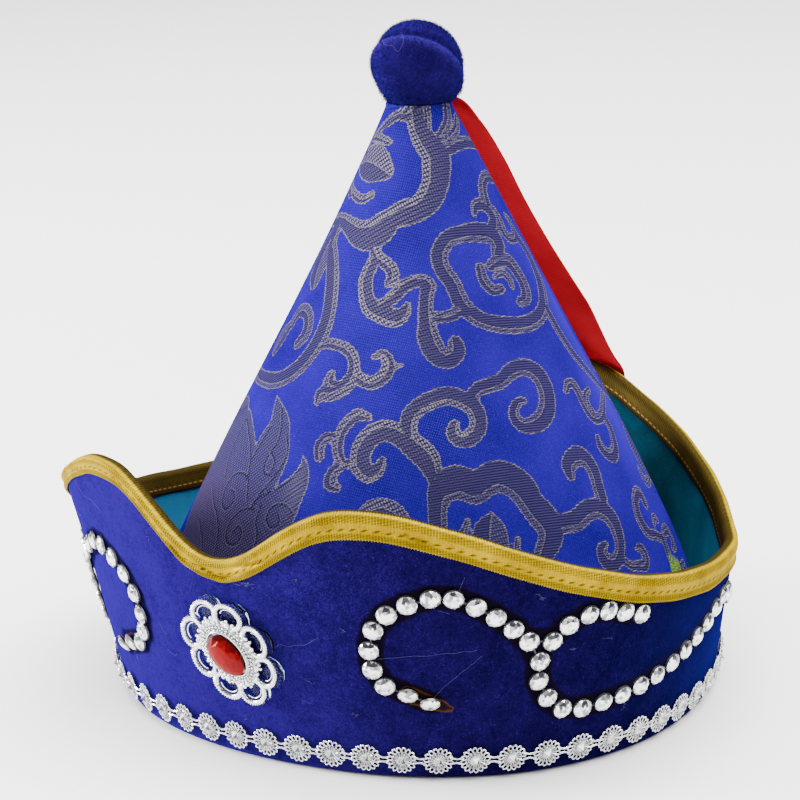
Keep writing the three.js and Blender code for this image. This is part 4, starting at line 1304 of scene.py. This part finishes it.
def makeScroll(side, name):
    look = stoneLook
    spots = scrollSpots(side)
    places = []
    for k, (angle, height) in enumerate(spots):
        leans = [Matrix.Rotation(random.uniform(-look["loose"], look["loose"]), 4, axis) for axis in "XY"]
        if k < len(look["tipped"]):
            leans[0] = Matrix.Rotation(look["tipped"][k], 4, "X")
        turn = Matrix.Rotation(random.uniform(0, tau), 4, "Z")
        places.append(wallPlace(angle, height, look["off"]) @ leans[0] @ leans[1] @ turn)
    r = look["radius"]
    rings = [
        (6, r * 0.3, 1.78 * mm, 0),
        (8, r * 0.6, 1.6 * mm, 0),
        (8, r * 0.86, 1.2 * mm, 0.5),
        (16, r, 0.66 * mm, 0.5),
        (16, r, 0.54 * mm, 0.5),
        (8, r * 0.5, 0.2 * mm, 0),
    ]
    stones = scatterCopies(name + "_stones", cutStone("rhinestone", rings), places)
    toneFaces(stones, "facet", rhinestoneTone)
    finishPiece(stones, paintStones(name), "rhinestone", name)
    cups = scatterCopies(name + "_cups", modelCup(), places)
    seats = [wallPlace(angle, height, look["off"] + 0.2 * mm).translation for angle, height in spots]
    routes = [[seats[i], seats[j]] for i, j in scrollLinks()]
    links = strands(name + "_links", routes, look["link"])
    toneFaces(links, "dark", lambda face: 1.0)
    metal = joinPieces(name + "_setting", [links, cups])
    smoothShade(metal, 35)
    finishPiece(metal, paintSilver(name + "_metal", (0.22, 0.215, 0.21), 0.3), "silver")


def rhinestoneTone(face):
    # painted reflections: the faces just above the middle are painted dark, as mirrors of the dark round
    # the lamps, the others pale, as mirrors of the pale floor
    out = (face.center - Vector((*hat["middle"], 0))).to_2d().normalized()
    along = abs(face.normal.x * out.y - face.normal.y * out.x)
    if face.normal.x * out.x + face.normal.y * out.y < 0.3:
        return random.choice((0.03, 0.12, 0.5))  # the edge of the stone
    if 0.06 < face.normal.z < 0.55 and along < 0.3:
        return random.choice((0.02, 0.04, 0.1, 0.22))
    if face.normal.z > 0.0 and along < 0.5:
        return random.choice((0.3, 0.5, 0.7, 1.0))
    return random.choice((0.45, 0.7, 0.9, 1.0, 1.0, 1.0))


def paintStones(name):
    paint = Paint(name + "_glass")
    colour = paint.ramp(paint.number("facet"), (0.0, (0.015, 0.016, 0.02)), (0.5, (0.28, 0.285, 0.30)),
                        (0.9, (0.95, 0.955, 0.97)))
    return paint.set(Base_Color=colour, Metallic=0.5, Roughness=0.1, Coat_Weight=0.2, Coat_Roughness=0.03)


makeScroll(1, "scroll_left")
makeScroll(-1, "scroll_right")
print("the scrolls are set")


# Flower: pierced loops with milled edges round an oval setting

flowerLook = {
    "height": 35.4 * mm,
    "tilt": -40,
    "clearOff": 0.5 * mm,
    "clearThick": 2.2 * mm,
    "flatter": 0.62,  # of the clear base, which is seen to be thin
    "plate": (10.8 * mm, 8.3 * mm),
    "plateThick": 1.3 * mm,
    "loop": 4.25 * mm,
    "hole": 2.9 * mm,
    "wider": 1.24,
    "stone": (7.2 * mm, 5.0 * mm),
    "notches": 36,
    "milled": 0.24 * mm,
    "bezel": 0.5 * mm,  # how far the setting stands outside the stone
    "uneven": 0.14,  # how far each grain may be off its place, in millimetres
    "grains": [  # half the oval's length and width, height, how many and how big, in millimetres
        ((8.4, 6.2), 1.75, 46, 0.34),
        ((9.2, 7.0), 1.55, 40, 0.42),
        ((10.1, 7.8), 1.25, 34, 0.46),
        ((10.9, 8.5), 1.0, 26, 0.42),
    ],
    "beads": [  # radius and place in each loop, in millimetres
        (0.95, (-2.6, 0.2, 0.85)),
        (0.6, (-2.1, 1.8, 0.8)),
        (0.65, (-2.1, -1.7, 0.8)),
        (0.5, (-1.4, 0.5, 0.7)),
    ],
}
clearTop = flowerLook["clearOff"] + flowerLook["clearThick"] * flowerLook["flatter"]
# the direction and distance of each loop's middle, in degrees and millimetres
petalRows = [
    (21.5, 12.6), (68.7, 11), (124.7, 11.4), (164.8, 13.3), (202.9, 13.3), (245.5, 11.1), (298.2, 11.5),
    (340.5, 13),
]


def flowerPlace(off):
    tilt = Matrix.Rotation(math.radians(flowerLook["tilt"]), 4, "Z")
    return wallPlace(0, flowerLook["height"], off) @ tilt


def addBall(radius, spot, detail=2):
    bpy.ops.mesh.primitive_ico_sphere_add(subdivisions=detail, radius=radius, location=spot)
    return settle(nameIt("bead"))


def loopShade(face, middle):
    x, y = face.center.x, face.center.y / flowerLook["wider"]
    if math.hypot(x, y) < middle - 0.25 * mm:
        return random.choice((0.0, 0.5, 0.9))
    turn = math.atan2(y, x) / tau * flowerLook["notches"]
    return 0.0 if abs(turn - round(turn)) < 0.26 else 0.5


def modelLoop():
    look = flowerLook
    middle = (look["loop"] + look["hole"]) / 2
    half = (look["loop"] - look["hole"]) / 2
    pickNothing()
    bpy.ops.mesh.primitive_torus_add(major_segments=look["notches"] * 2, minor_segments=10,
                                     major_radius=middle, minor_radius=half)
    loop = nameIt("loop")
    points = pointsOf(loop)
    out = np.hypot(points[:, 0], points[:, 1])
    turn = np.arctan2(points[:, 1], points[:, 0]) / tau * look["notches"]
    crest = np.where(np.abs(turn - np.rint(turn)) < 0.2, 1.0, -1.0)
    outer = np.clip((out - middle) / half + 0.3, 0, 1)
    grow = 1 + crest * outer * look["milled"] / out
    points[:, :2] *= grow[:, None]
    points[:, 1] *= look["wider"]
    points[:, 2] = points[:, 2] * (0.85 + 0.25 * crest * outer) + 0.72 * mm
    setPoints(loop, points)
    # painted reflection: the cuts of the milled edge and the sides of the hole are painted dark, as mirrors
    # of the dark round them
    toneFaces(loop, "dark", lambda face: loopShade(face, middle))
    turns = [math.radians(angle) for angle in range(-75, 76, 10)]
    arc = [Vector((2.3 * mm * math.cos(t), 2.9 * mm * math.sin(t), 0.3 * mm)) for t in turns]
    crescent = strands("crescent", [arc], 0.19 * mm)
    beads = [addBall(radius * mm, [value * mm for value in spot]) for radius, spot in look["beads"]]
    return settle(joinPieces("loop", beads + [crescent, loop]))


def modelPlate():
    look = flowerLook
    pickNothing()
    thick = look["plateThick"]
    bpy.ops.mesh.primitive_cylinder_add(vertices=72, radius=1, depth=thick, location=(0, 0, thick / 2))
    plate = nameIt("plate")
    bpy.ops.object.mode_set(mode="EDIT")
    bpy.ops.transform.resize(value=(look["plate"][0], look["plate"][1], 1))
    bpy.ops.mesh.bevel(offset=0.3 * mm, segments=2, affect="EDGES")
    bpy.ops.object.mode_set(mode="OBJECT")
    toneFaces(plate, "dark", lambda face: 0.9)
    return settle(plate)


def ovalRing(half, lift, count):
    turns = [tau * k / count for k in range(count)]
    return [Vector((half[0] * math.cos(t), half[1] * math.sin(t), lift)) for t in turns]


def makeFlower():
    look = flowerLook
    places = []
    for turn, reach in petalRows:
        a = math.radians(turn)
        shift = Matrix.Translation((reach * mm * math.cos(a), reach * mm * math.sin(a), 0))
        places.append(shift @ Matrix.Rotation(a, 4, "Z"))
    pieces = [scatterCopies("loops", modelLoop(), places), modelPlate()]
    edge = [half + look["bezel"] for half in look["stone"]]
    rim = ovalRing(edge, 2.0 * mm, 72)
    pieces.append(strands("bezel", [rim + rim[:2]], 0.22 * mm, 3))
    wall = ovalRing((edge[0] + 0.1 * mm, edge[1] + 0.1 * mm), 1.45 * mm, 72)
    foot = strands("bezelFoot", [wall + wall[:2]], 0.42 * mm, 3)
    toneFaces(foot, "dark", lambda face: 0.7)
    pieces.append(foot)
    for half, lift, count, radius in look["grains"]:
        spots = ovalRing((half[0] * mm, half[1] * mm), lift * mm, count)
        pattern = addBall(radius * mm, (0, 0, 0), 1)
        uneven = look["uneven"]
        nudges = [Vector([random.uniform(-uneven, uneven) * mm for _ in range(3)]) for _ in spots]
        places = [Matrix.Translation(spot + nudge) for spot, nudge in zip(spots, nudges)]
        pieces.append(scatterCopies("grains", pattern, places))
    flower = joinPieces("flower_openwork", pieces)
    flower.data.transform(flowerPlace(clearTop + hat["gap"]))
    flower.data.update()
    smoothShade(flower, 50)
    return finishPiece(flower, paintSilver("flower_silver", rough=0.14, dark=0.5), "silver", "flower")


def makeClearBase():
    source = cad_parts["clear_base"]
    base = copyTo(source, Matrix.Identity(4))
    base.hide_render = False
    base.name = "flower_clear_base"
    for key in list(base.keys()):
        del base[key]
    foot = flowerPlace(flowerLook["clearOff"])
    base.data.transform(foot @ Matrix.Diagonal((1, 1, flowerLook["flatter"], 1)) @ foot.inverted())
    closeUp(base, 0.02 * mm)
    openAll(base)
    bpy.ops.mesh.dissolve_limited(angle_limit=math.radians(2))
    bpy.ops.object.mode_set(mode="OBJECT")
    useModifier(base, "BEVEL", width=0.35 * mm, segments=3, limit_method="ANGLE",
                angle_limit=math.radians(40))
    smoothShade(base, 40)
    paint = Paint("clear_plastic")
    scuff = paint.noise(3 * mm, 2.0)
    paint.set(Base_Color=(0.75, 0.80, 1.0), Roughness=0.03 + scuff * 0.05, IOR=1.16,
              Transmission_Weight=1.0)
    return finishPiece(base, paint.material, "clear_plastic", "clear_base")


def redStoneTone(face):
    # painted light and shade: bright in the middle, darkest at the upper left
    facing = -face.normal.y - 0.35 * face.normal.z + 0.25 * face.normal.x
    return min(max((facing - 0.55) * 2.1, 0.1), 0.9) + random.uniform(-0.12, 0.12)


def makeRedStone():
    rings = [
        (8, 0.30, 3.75 * mm, 0),
        (14, 0.62, 3.2 * mm, 0),
        (14, 0.86, 2.4 * mm, 0.5),
        (28, 1.0, 1.4 * mm, 0.5),
        (28, 0.99, 1.1 * mm, 0.5),
        (14, 0.92, 0.05 * mm, 0),
    ]
    stone = cutStone("red_stone_cut", rings, flowerLook["stone"])
    stone.data.transform(flowerPlace(clearTop + flowerLook["plateThick"] + 2 * hat["gap"]))
    toneFaces(stone, "facet", redStoneTone)
    paint = Paint("red_glass")
    glow = paint.noise(3.5 * mm, 1.0) * 0.3 - 0.15
    colour = paint.ramp(paint.number("facet") + glow, (0.05, (0.032, 0.0002, 0.001)),
                        (0.45, (0.11, 0.0005, 0.0014)), (0.85, (0.165, 0.0008, 0.0018)))
    paint.set(Base_Color=colour, Roughness=0.2, Coat_Weight=0.05, Coat_Roughness=0.05,
              Specular_IOR_Level=0.06)
    return finishPiece(stone, paint.material, "red_stone", "red_stone")


makeFlower()
makeClearBase()
makeRedStone()
print("the flower is sewn on")


# Ball: stuffed velvet with a folded ridge and a gathered neck

ballLook = {
    "middle": (1.9 * mm, 1.4 * mm, 190.9 * mm),
    "radius": 13.6 * mm,
    "squash": 0.925,
    "fullness": 2.75,  # of the lower half, where 2 is a plain sphere
    "fuller": 0.5,
    "neckFrom": 0.719,
    "neckRadius": 9.3 * mm,
    "neckFoot": 179.9 * mm,
    "sideShare": 0.72,
    "foldFacing": (0.225, -0.766, -0.611),  # the way that the folded front faces
    "foldAt": 0.02,
    "dentFacing": (0.688, -0.704, 0.169),
    "fold": (0.12, 0.11),  # how far ahead of the folded edge it swells, and how wide
    "foldHeight": 0.05,
    "groove": (-0.04, 0.07),
    "grooveDepth": 0.055,
    "dentWidth": 0.06,
    "dentDepth": 0.065,
    "lumps": 0.010,
    "gathers": (17, 0.03),  # how many and how deep
    "hairs": 15000,
    "hair": (0.12 * mm, 1.05 * mm),
    "hairFrom": 180.0 * mm,
    "longHairBelow": 183.5 * mm,
    "curl": [  # a fibre that lies on it, to the right and up as the camera sees the ball
        (-0.70, 0.42), (-0.66, 0.30), (-0.52, 0.26), (-0.42, 0.12), (-0.34, 0.22), (-0.28, 0.40),
        (-0.36, 0.52),
    ],
}


def makeBall():
    look = ballLook
    pickNothing()
    bpy.ops.mesh.primitive_uv_sphere_add(segments=168, ring_count=110, radius=1)
    ball = nameIt("top_ball_velvet")
    way = pointsOf(ball)
    facing = np.array(look["foldFacing"])
    ahead = way @ facing - look["foldAt"]
    turn = np.arctan2(way[:, 1], way[:, 0])
    crest = bell(ahead, *look["fold"])
    ridge = look["foldHeight"] * crest
    groove = look["grooveDepth"] * bell(ahead, *look["groove"])
    dentNear = np.exp(-(1 - way @ np.array(look["dentFacing"])) / look["dentWidth"])
    dent = look["dentDepth"] * dentNear
    lumps = np.sin(5 * way[:, 0] + 3) + np.sin(6 * way[:, 1] + 1) + np.sin(7 * way[:, 2] + 2)
    lumps = look["lumps"] * lumps
    spread = np.hypot(way[:, 0], way[:, 1]) + 1e-9
    rightward = (way[:, 0] * cameraLook["right"][0] + way[:, 1] * cameraLook["right"][1]) / spread
    n = np.where(way[:, 2] < 0, look["fullness"] + look["fuller"] * rightward, 2.0)
    full = (spread ** n + abs(way[:, 2]) ** n) ** (-1 / n)
    size = look["radius"] * full * (1 + ridge - groove - dent + lumps)
    points = way * size[:, None] * np.array([1, 1, look["squash"]])
    down = np.clip((-way[:, 2] - look["neckFrom"]) / (1 - look["neckFrom"]), 0, 1)
    rings = np.clip(down / look["sideShare"], 0, 1)
    count, deep = look["gathers"]
    gathers = 1 + deep * np.sin(count * turn + 1.5 * np.sin(3 * turn)) * rings
    seam = np.array([math.sqrt(1 - look["neckFrom"] ** 2), look["neckFrom"]])
    reach = look["radius"] * (seam[0] ** n + seam[1] ** n) ** (-1 / n)
    edge, startZ = reach * seam[0], -reach * seam[1] * look["squash"]
    foot = look["neckFoot"] - look["middle"][2]
    waist = edge * (1 - rings) + look["neckRadius"] * rings
    closing = np.clip((down - look["sideShare"]) / (1 - look["sideShare"]), 0, 1)
    neck = waist * gathers * np.sqrt(1 - closing)
    isNeck = down > 0
    points[isNeck, 0] = (way[:, 0] / spread * neck)[isNeck]
    points[isNeck, 1] = (way[:, 1] / spread * neck)[isNeck]
    points[isNeck, 2] = (startZ * (1 - rings) + foot * rings)[isNeck]
    points += np.array(look["middle"]) + np.array([*hat["middle"], 0])
    setPoints(ball, points)
    # painted shade in the front dent and low on the ball, the dent partly also the pile's direction, and a
    # painted highlight along the upper side of the fold
    low = bell(way[:, 2], -0.75, 0.3)
    keepNumber(ball, "shade", np.clip(dentNear * 1.3 + 0.35 * low, 0, 1))
    keepNumber(ball, "lit", np.clip(crest * np.clip(way[:, 2] + 0.6, 0, 1), 0, 1))
    closeUp(ball)
    useModifier(ball, "SMOOTH", iterations=3, factor=0.5)
    smoothShade(ball, 70)
    finishPiece(ball, paintVelvet("velvet_ball", False), "velvet", "top_ball")
    return ball


def raisePile(name, source, look, paint):
    # short hairs, each a thin leaf, that soften the outline of the velvet
    mesh = source.data
    wide, tall = look["hair"]
    faces = [face for face in mesh.polygons if face.center.z > look["hairFrom"]]
    corners = []
    for face in random.choices(faces, [face.area for face in faces], k=look["hairs"]):
        shares = [random.random() + 0.05 for _ in face.vertices]
        total = sum(shares)
        root = Vector()
        for v, share in zip(face.vertices, shares):
            root += mesh.vertices[v].co * (share / total)
        bend = Vector([random.uniform(-0.75, 0.75) for _ in range(3)])
        way = (face.normal + bend).normalized()
        side = way.cross(Vector([random.uniform(-1, 1) for _ in range(3)])).normalized() * wide / 2
        tip = root + way * tall * random.uniform(0.45, 1.0) * (1.7 if root.z < look["longHairBelow"] else 1)
        corners += [root - side, root + side, tip]
    leaves = [(k, k + 1, k + 2) for k in range(0, len(corners), 3)]
    hairs = bpy.data.meshes.new(name)
    hairs.from_pydata([tuple(corner) for corner in corners], [], leaves)
    piece = bpy.data.objects.new(name, hairs)
    bpy.context.collection.objects.link(piece)
    return finishPiece(piece, paint, "velvet")


# Ribbon: sewn on under the ball, straight down to the rim and over it

# y, z and half the width along it, in millimetres
ribbonRows = [
    (8.0, 180.2, 7.0), (12.2, 178.8, 8.6), (20.6, 171.3, 10.6), (33.4, 157.6, 11.6), (44.4, 142.9, 12.1),
    (57, 127.8, 12.6), (71.6, 111.8, 13.1), (86.6, 96, 13.5), (96, 86.2, 13.7), (101.6, 80.5, 13.8),
    (104.3, 77.8, 13.8), (105.8, 75.6, 13.8), (106.4, 72, 13.8), (106.6, 62, 13.8), (106.3, 48, 13.8),
    (105.6, 34, 13.8), (105, 22, 13.8),
]
ribbonLook = {
    "along": 540,
    "across": 18,
    "thick": 0.5 * mm,
    "out": 0.5 * mm,
    "rib": 0.06 * mm,
    "width": 27.6 * mm,
    "sink": (80 * mm, 22 * mm),  # from where, and over which way, its sides follow the rim down
}


def makeRibbon():
    look = ribbonLook
    rows = np.array(ribbonRows) * mm
    run = np.concatenate([[0], np.cumsum(np.hypot(*np.diff(rows[:, :2], axis=0).T))])
    curves = [smoothCurve(run, rows[:, k]) for k in range(3)]
    middleX = smoothCurve(run[:5], np.array([1.9, 1.27, 0.63, 0, 0]) * mm)

    def place(u, v):
        along = v * run[-1]
        column = np.rint(v * look["along"]).astype(int)
        y, z, half = [curve(along) for curve in curves]
        dy, dz = [curve(along + 0.2 * mm) - curve(along - 0.2 * mm) for curve in curves[:2]]
        length = np.hypot(dy, dz) + 1e-9
        side = 2 * u - 1
        free = np.clip((along - 0.72 * run[-1]) / (0.28 * run[-1]), 0, 1)
        hanging = np.clip(along / (30 * mm), 0, 1)
        hanging = hanging * np.clip((0.55 * run[-1] - along) / (0.2 * run[-1]), 0, 1)
        bow = 0.9 * mm * hanging * (1 - side ** 2) + free * 0.5 * mm * np.sin(3 * side + along / (9 * mm))
        lift = look["out"] + bow + look["rib"] * (column % 3 == 0)
        x = middleX(np.minimum(along, run[4])) + side * half
        # its sides sink with the rim, which falls away from the peak
        sink = smoothStep((y - look["sink"][0]) / look["sink"][1])
        angle = 180 - np.degrees(np.arctan2(x, y))
        rim = wallPoints(angle, brimRim(angle), 0) - wallPoints(np.array(180.0), brimRim(180), 0)
        y = y + sink * rim[..., 1] - dz / length * lift
        z = z + sink * rim[..., 2] + dy / length * lift
        return np.stack([hat["middle"][0] + x, hat["middle"][1] + y, z], axis=-1)

    ribbon = cloth("ribbon_cloth", look["across"], look["along"], place)
    rib = np.where(np.arange(look["along"] + 1) % 3 == 0, 1.0, 0.0)
    keepNumber(ribbon, "rib", np.repeat(rib, look["across"] + 1))
    useModifier(ribbon, "SOLIDIFY", thickness=look["thick"], offset=0)
    openAll(ribbon)
    bpy.ops.mesh.normals_make_consistent(inside=False)
    bpy.ops.object.mode_set(mode="OBJECT")
    smoothShade(ribbon, 60)
    finishPiece(ribbon, paintRibbon(), "ribbon", "ribbon")
    print("the ribbon is", round(run[-1] / mm, 1), "mm long")
    return ribbon


def paintRibbon():
    paint = Paint("red_ribbon")
    rib = paint.number("rib")
    weave = paint.noise(0.4 * mm, 2.0)
    patch = paint.noise(14 * mm, 2.0)
    colour = paint.ramp(weave * 0.5 + patch * 0.5,
                        (0.3, (0.21, 0.0035, 0.008)), (0.7, (0.32, 0.008, 0.015)))
    colour = paint.blend((1 - rib).above(0.5, 0.4) * 0.4, colour, (0.10, 0.001, 0.002))
    paint.bump(rib * 0.7 + weave * 0.3, 0.08 * mm, 0.7)
    return paint.set(Base_Color=colour, Roughness=0.45 + weave * 0.1, Sheen_Weight=0.06,
                     Sheen_Tint=(1.0, 0.06, 0.05, 1), Specular_IOR_Level=0.0)


# Lint: pale fibres caught in the pile, as angle and height on the wall, in degrees and millimetres

lintRows = [
    [(-41.6, 72.2), (-44.9, 69.4), (-45.9, 67.3), (-45.3, 63.0)],
    [(-41.6, 72.2), (-37.8, 68.1), (-34.2, 68.0), (-31.4, 65.8)],
    [(-18.7, 36.0), (-18.2, 34.3), (-17.1, 32.9)],
    [(4.8, 40.8), (6.1, 41.8), (6.9, 41.4), (7.9, 42.4)],
    [(5.1, 35.4), (7.2, 36.3), (8.7, 38.4), (10.0, 40.0), (11.1, 39.7), (12.5, 40.3), (14.9, 41.3),
     (17.5, 44.1)],
    [(25.4, 38.6), (29.5, 39.6), (34.3, 40.8), (40.5, 41.9), (43.6, 42.5)],
    [(44.5, 40.7), (42.2, 36.8), (39.1, 31.8), (35.6, 24.9)],
    [(41.6, 66.1), (41.0, 63.3), (40.5, 59.9)],
]
lintLook = {
    "thick": 0.033 * mm,
    "off": 0.5 * mm,
    "wobble": 0.22,
    "finer": 4,  # points for each charted one
    "bits": 44,
    "smears": 26,
    "smear": (3.5, 57.5),  # the angle and height of a patch of short fibres
}


def lintRoute(row):
    fine = softRoute(row, lintLook["finer"] * len(row))
    fine[1:-1, 1] += [random.uniform(-1, 1) * lintLook["wobble"] for _ in fine[1:-1]]
    return list(wallPoints(fine[:, 0], fine[:, 1] * mm, lintLook["off"]))


def makeLint(ball):
    look = lintLook
    routes = [lintRoute(row) for row in lintRows]
    for _ in range(look["bits"]):
        angle = random.uniform(-180, 180)
        height = random.uniform(0.2, 0.85) * float(brimRim(angle)) / mm
        row = [(angle, height)]
        for _ in range(4):
            angle += random.uniform(-0.9, 1.1)
            height += random.uniform(-0.9, 0.9)
            row.append((angle, height))
        routes.append(lintRoute(row))
    for _ in range(look["smears"]):
        angle = look["smear"][0] + random.uniform(-2.2, 2.2)
        height = look["smear"][1] + random.uniform(-0.7, 0.7)
        end = (angle + random.uniform(0.3, 0.9), height + random.uniform(-0.4, 0.4))
        routes.append(lintRoute([(angle, height), end]))
    middle = Vector(ballLook["middle"]) + Vector((*hat["middle"], 0))
    right, up = Vector(cameraLook["right"]), Vector(cameraLook["up"])
    curl = []
    for across, rise in softRoute(ballLook["curl"], look["finer"] * len(ballLook["curl"])):
        nearer = math.sqrt(1 - across ** 2 - rise ** 2)
        way = right * across + up * rise - Vector(cameraLook["forward"]) * nearer
        _, spot, normal, _ = ball.ray_cast(middle, way)
        curl.append(spot + normal * 0.8 * mm)
    routes.append(curl)
    lint = strands("velvet_lint", routes, look["thick"], 1)
    paint = Paint("pale_lint")
    faded = paint.noise(1.5 * mm, 2.0).above(0.5, 0.2)
    colour = paint.blend(faded, (0.085, 0.085, 0.17), (0.05, 0.05, 0.125))
    paint.set(Base_Color=colour, Roughness=0.8, Specular_IOR_Level=0.0)
    return finishPiece(lint, paint.material, "velvet")


ball = makeBall()
makeLint(ball)
raisePile("top_ball_pile", ball, ballLook, paintVelvet("velvet_hairs", False))
makeRibbon()
print("the ball and the ribbon are on")


# Studio: floor, light and camera

studioLook = {
    "sky": 0.8,
    "aim": (0, 0, 0.08),
    "lamps": {
        "topLight": ((0.3, 0.25, 2.2), 3.0, 250),
        "keyLight": ((-1.5, -0.72, 0.42), 0.7, 105),
        "fillLight": ((1.2, -0.5, 0.9), 0.7, 6),
    },
}


def makeStudio():
    pickNothing()
    bpy.ops.mesh.primitive_plane_add(size=30)
    floor = nameIt("floor")
    bpy.ops.object.mode_set(mode="EDIT")
    bpy.ops.transform.translate(value=(0, 0, -0.4 * mm))
    bpy.ops.object.mode_set(mode="OBJECT")
    paint = Paint("pale_floor")
    paint.set(Base_Color=(0.93, 0.93, 0.93), Roughness=0.85, Specular_IOR_Level=0.2)
    floor.data.materials.append(paint.material)
    world = bpy.data.worlds.new("studio")
    bpy.context.scene.world = world
    world.use_nodes = True
    world.node_tree.nodes["Background"].inputs["Color"].default_value = (1, 1, 1, 1)
    world.node_tree.nodes["Background"].inputs["Strength"].default_value = studioLook["sky"]
    for name, (spot, size, power) in studioLook["lamps"].items():
        lamp = bpy.data.lights.new(name, "AREA")
        lamp.shape = "DISK"
        lamp.size = size
        lamp.energy = power
        holder = bpy.data.objects.new(name, lamp)
        bpy.context.collection.objects.link(holder)
        holder.location = spot
        aim = Vector(studioLook["aim"]) - Vector(spot)
        holder.rotation_euler = aim.to_track_quat("-Z", "Y").to_euler()


def makeCamera():
    look = cameraLook
    camera = bpy.data.objects.new("camera", bpy.data.cameras.new("camera"))
    bpy.context.collection.objects.link(camera)
    forward = Vector(look["forward"]).normalized()
    up = (Vector(look["up"]) - forward * forward.dot(Vector(look["up"]))).normalized()
    right = forward.cross(up)
    turn = Matrix((right, up, -forward)).transposed().to_4x4()
    turn.translation = Vector(look["spot"])
    camera.matrix_world = turn
    camera.data.sensor_width = 36
    camera.data.lens = look["lens"]
    camera.data.clip_start = 0.01
    bpy.context.scene.camera = camera


makeStudio()
makeCamera()
print("the studio is lit")
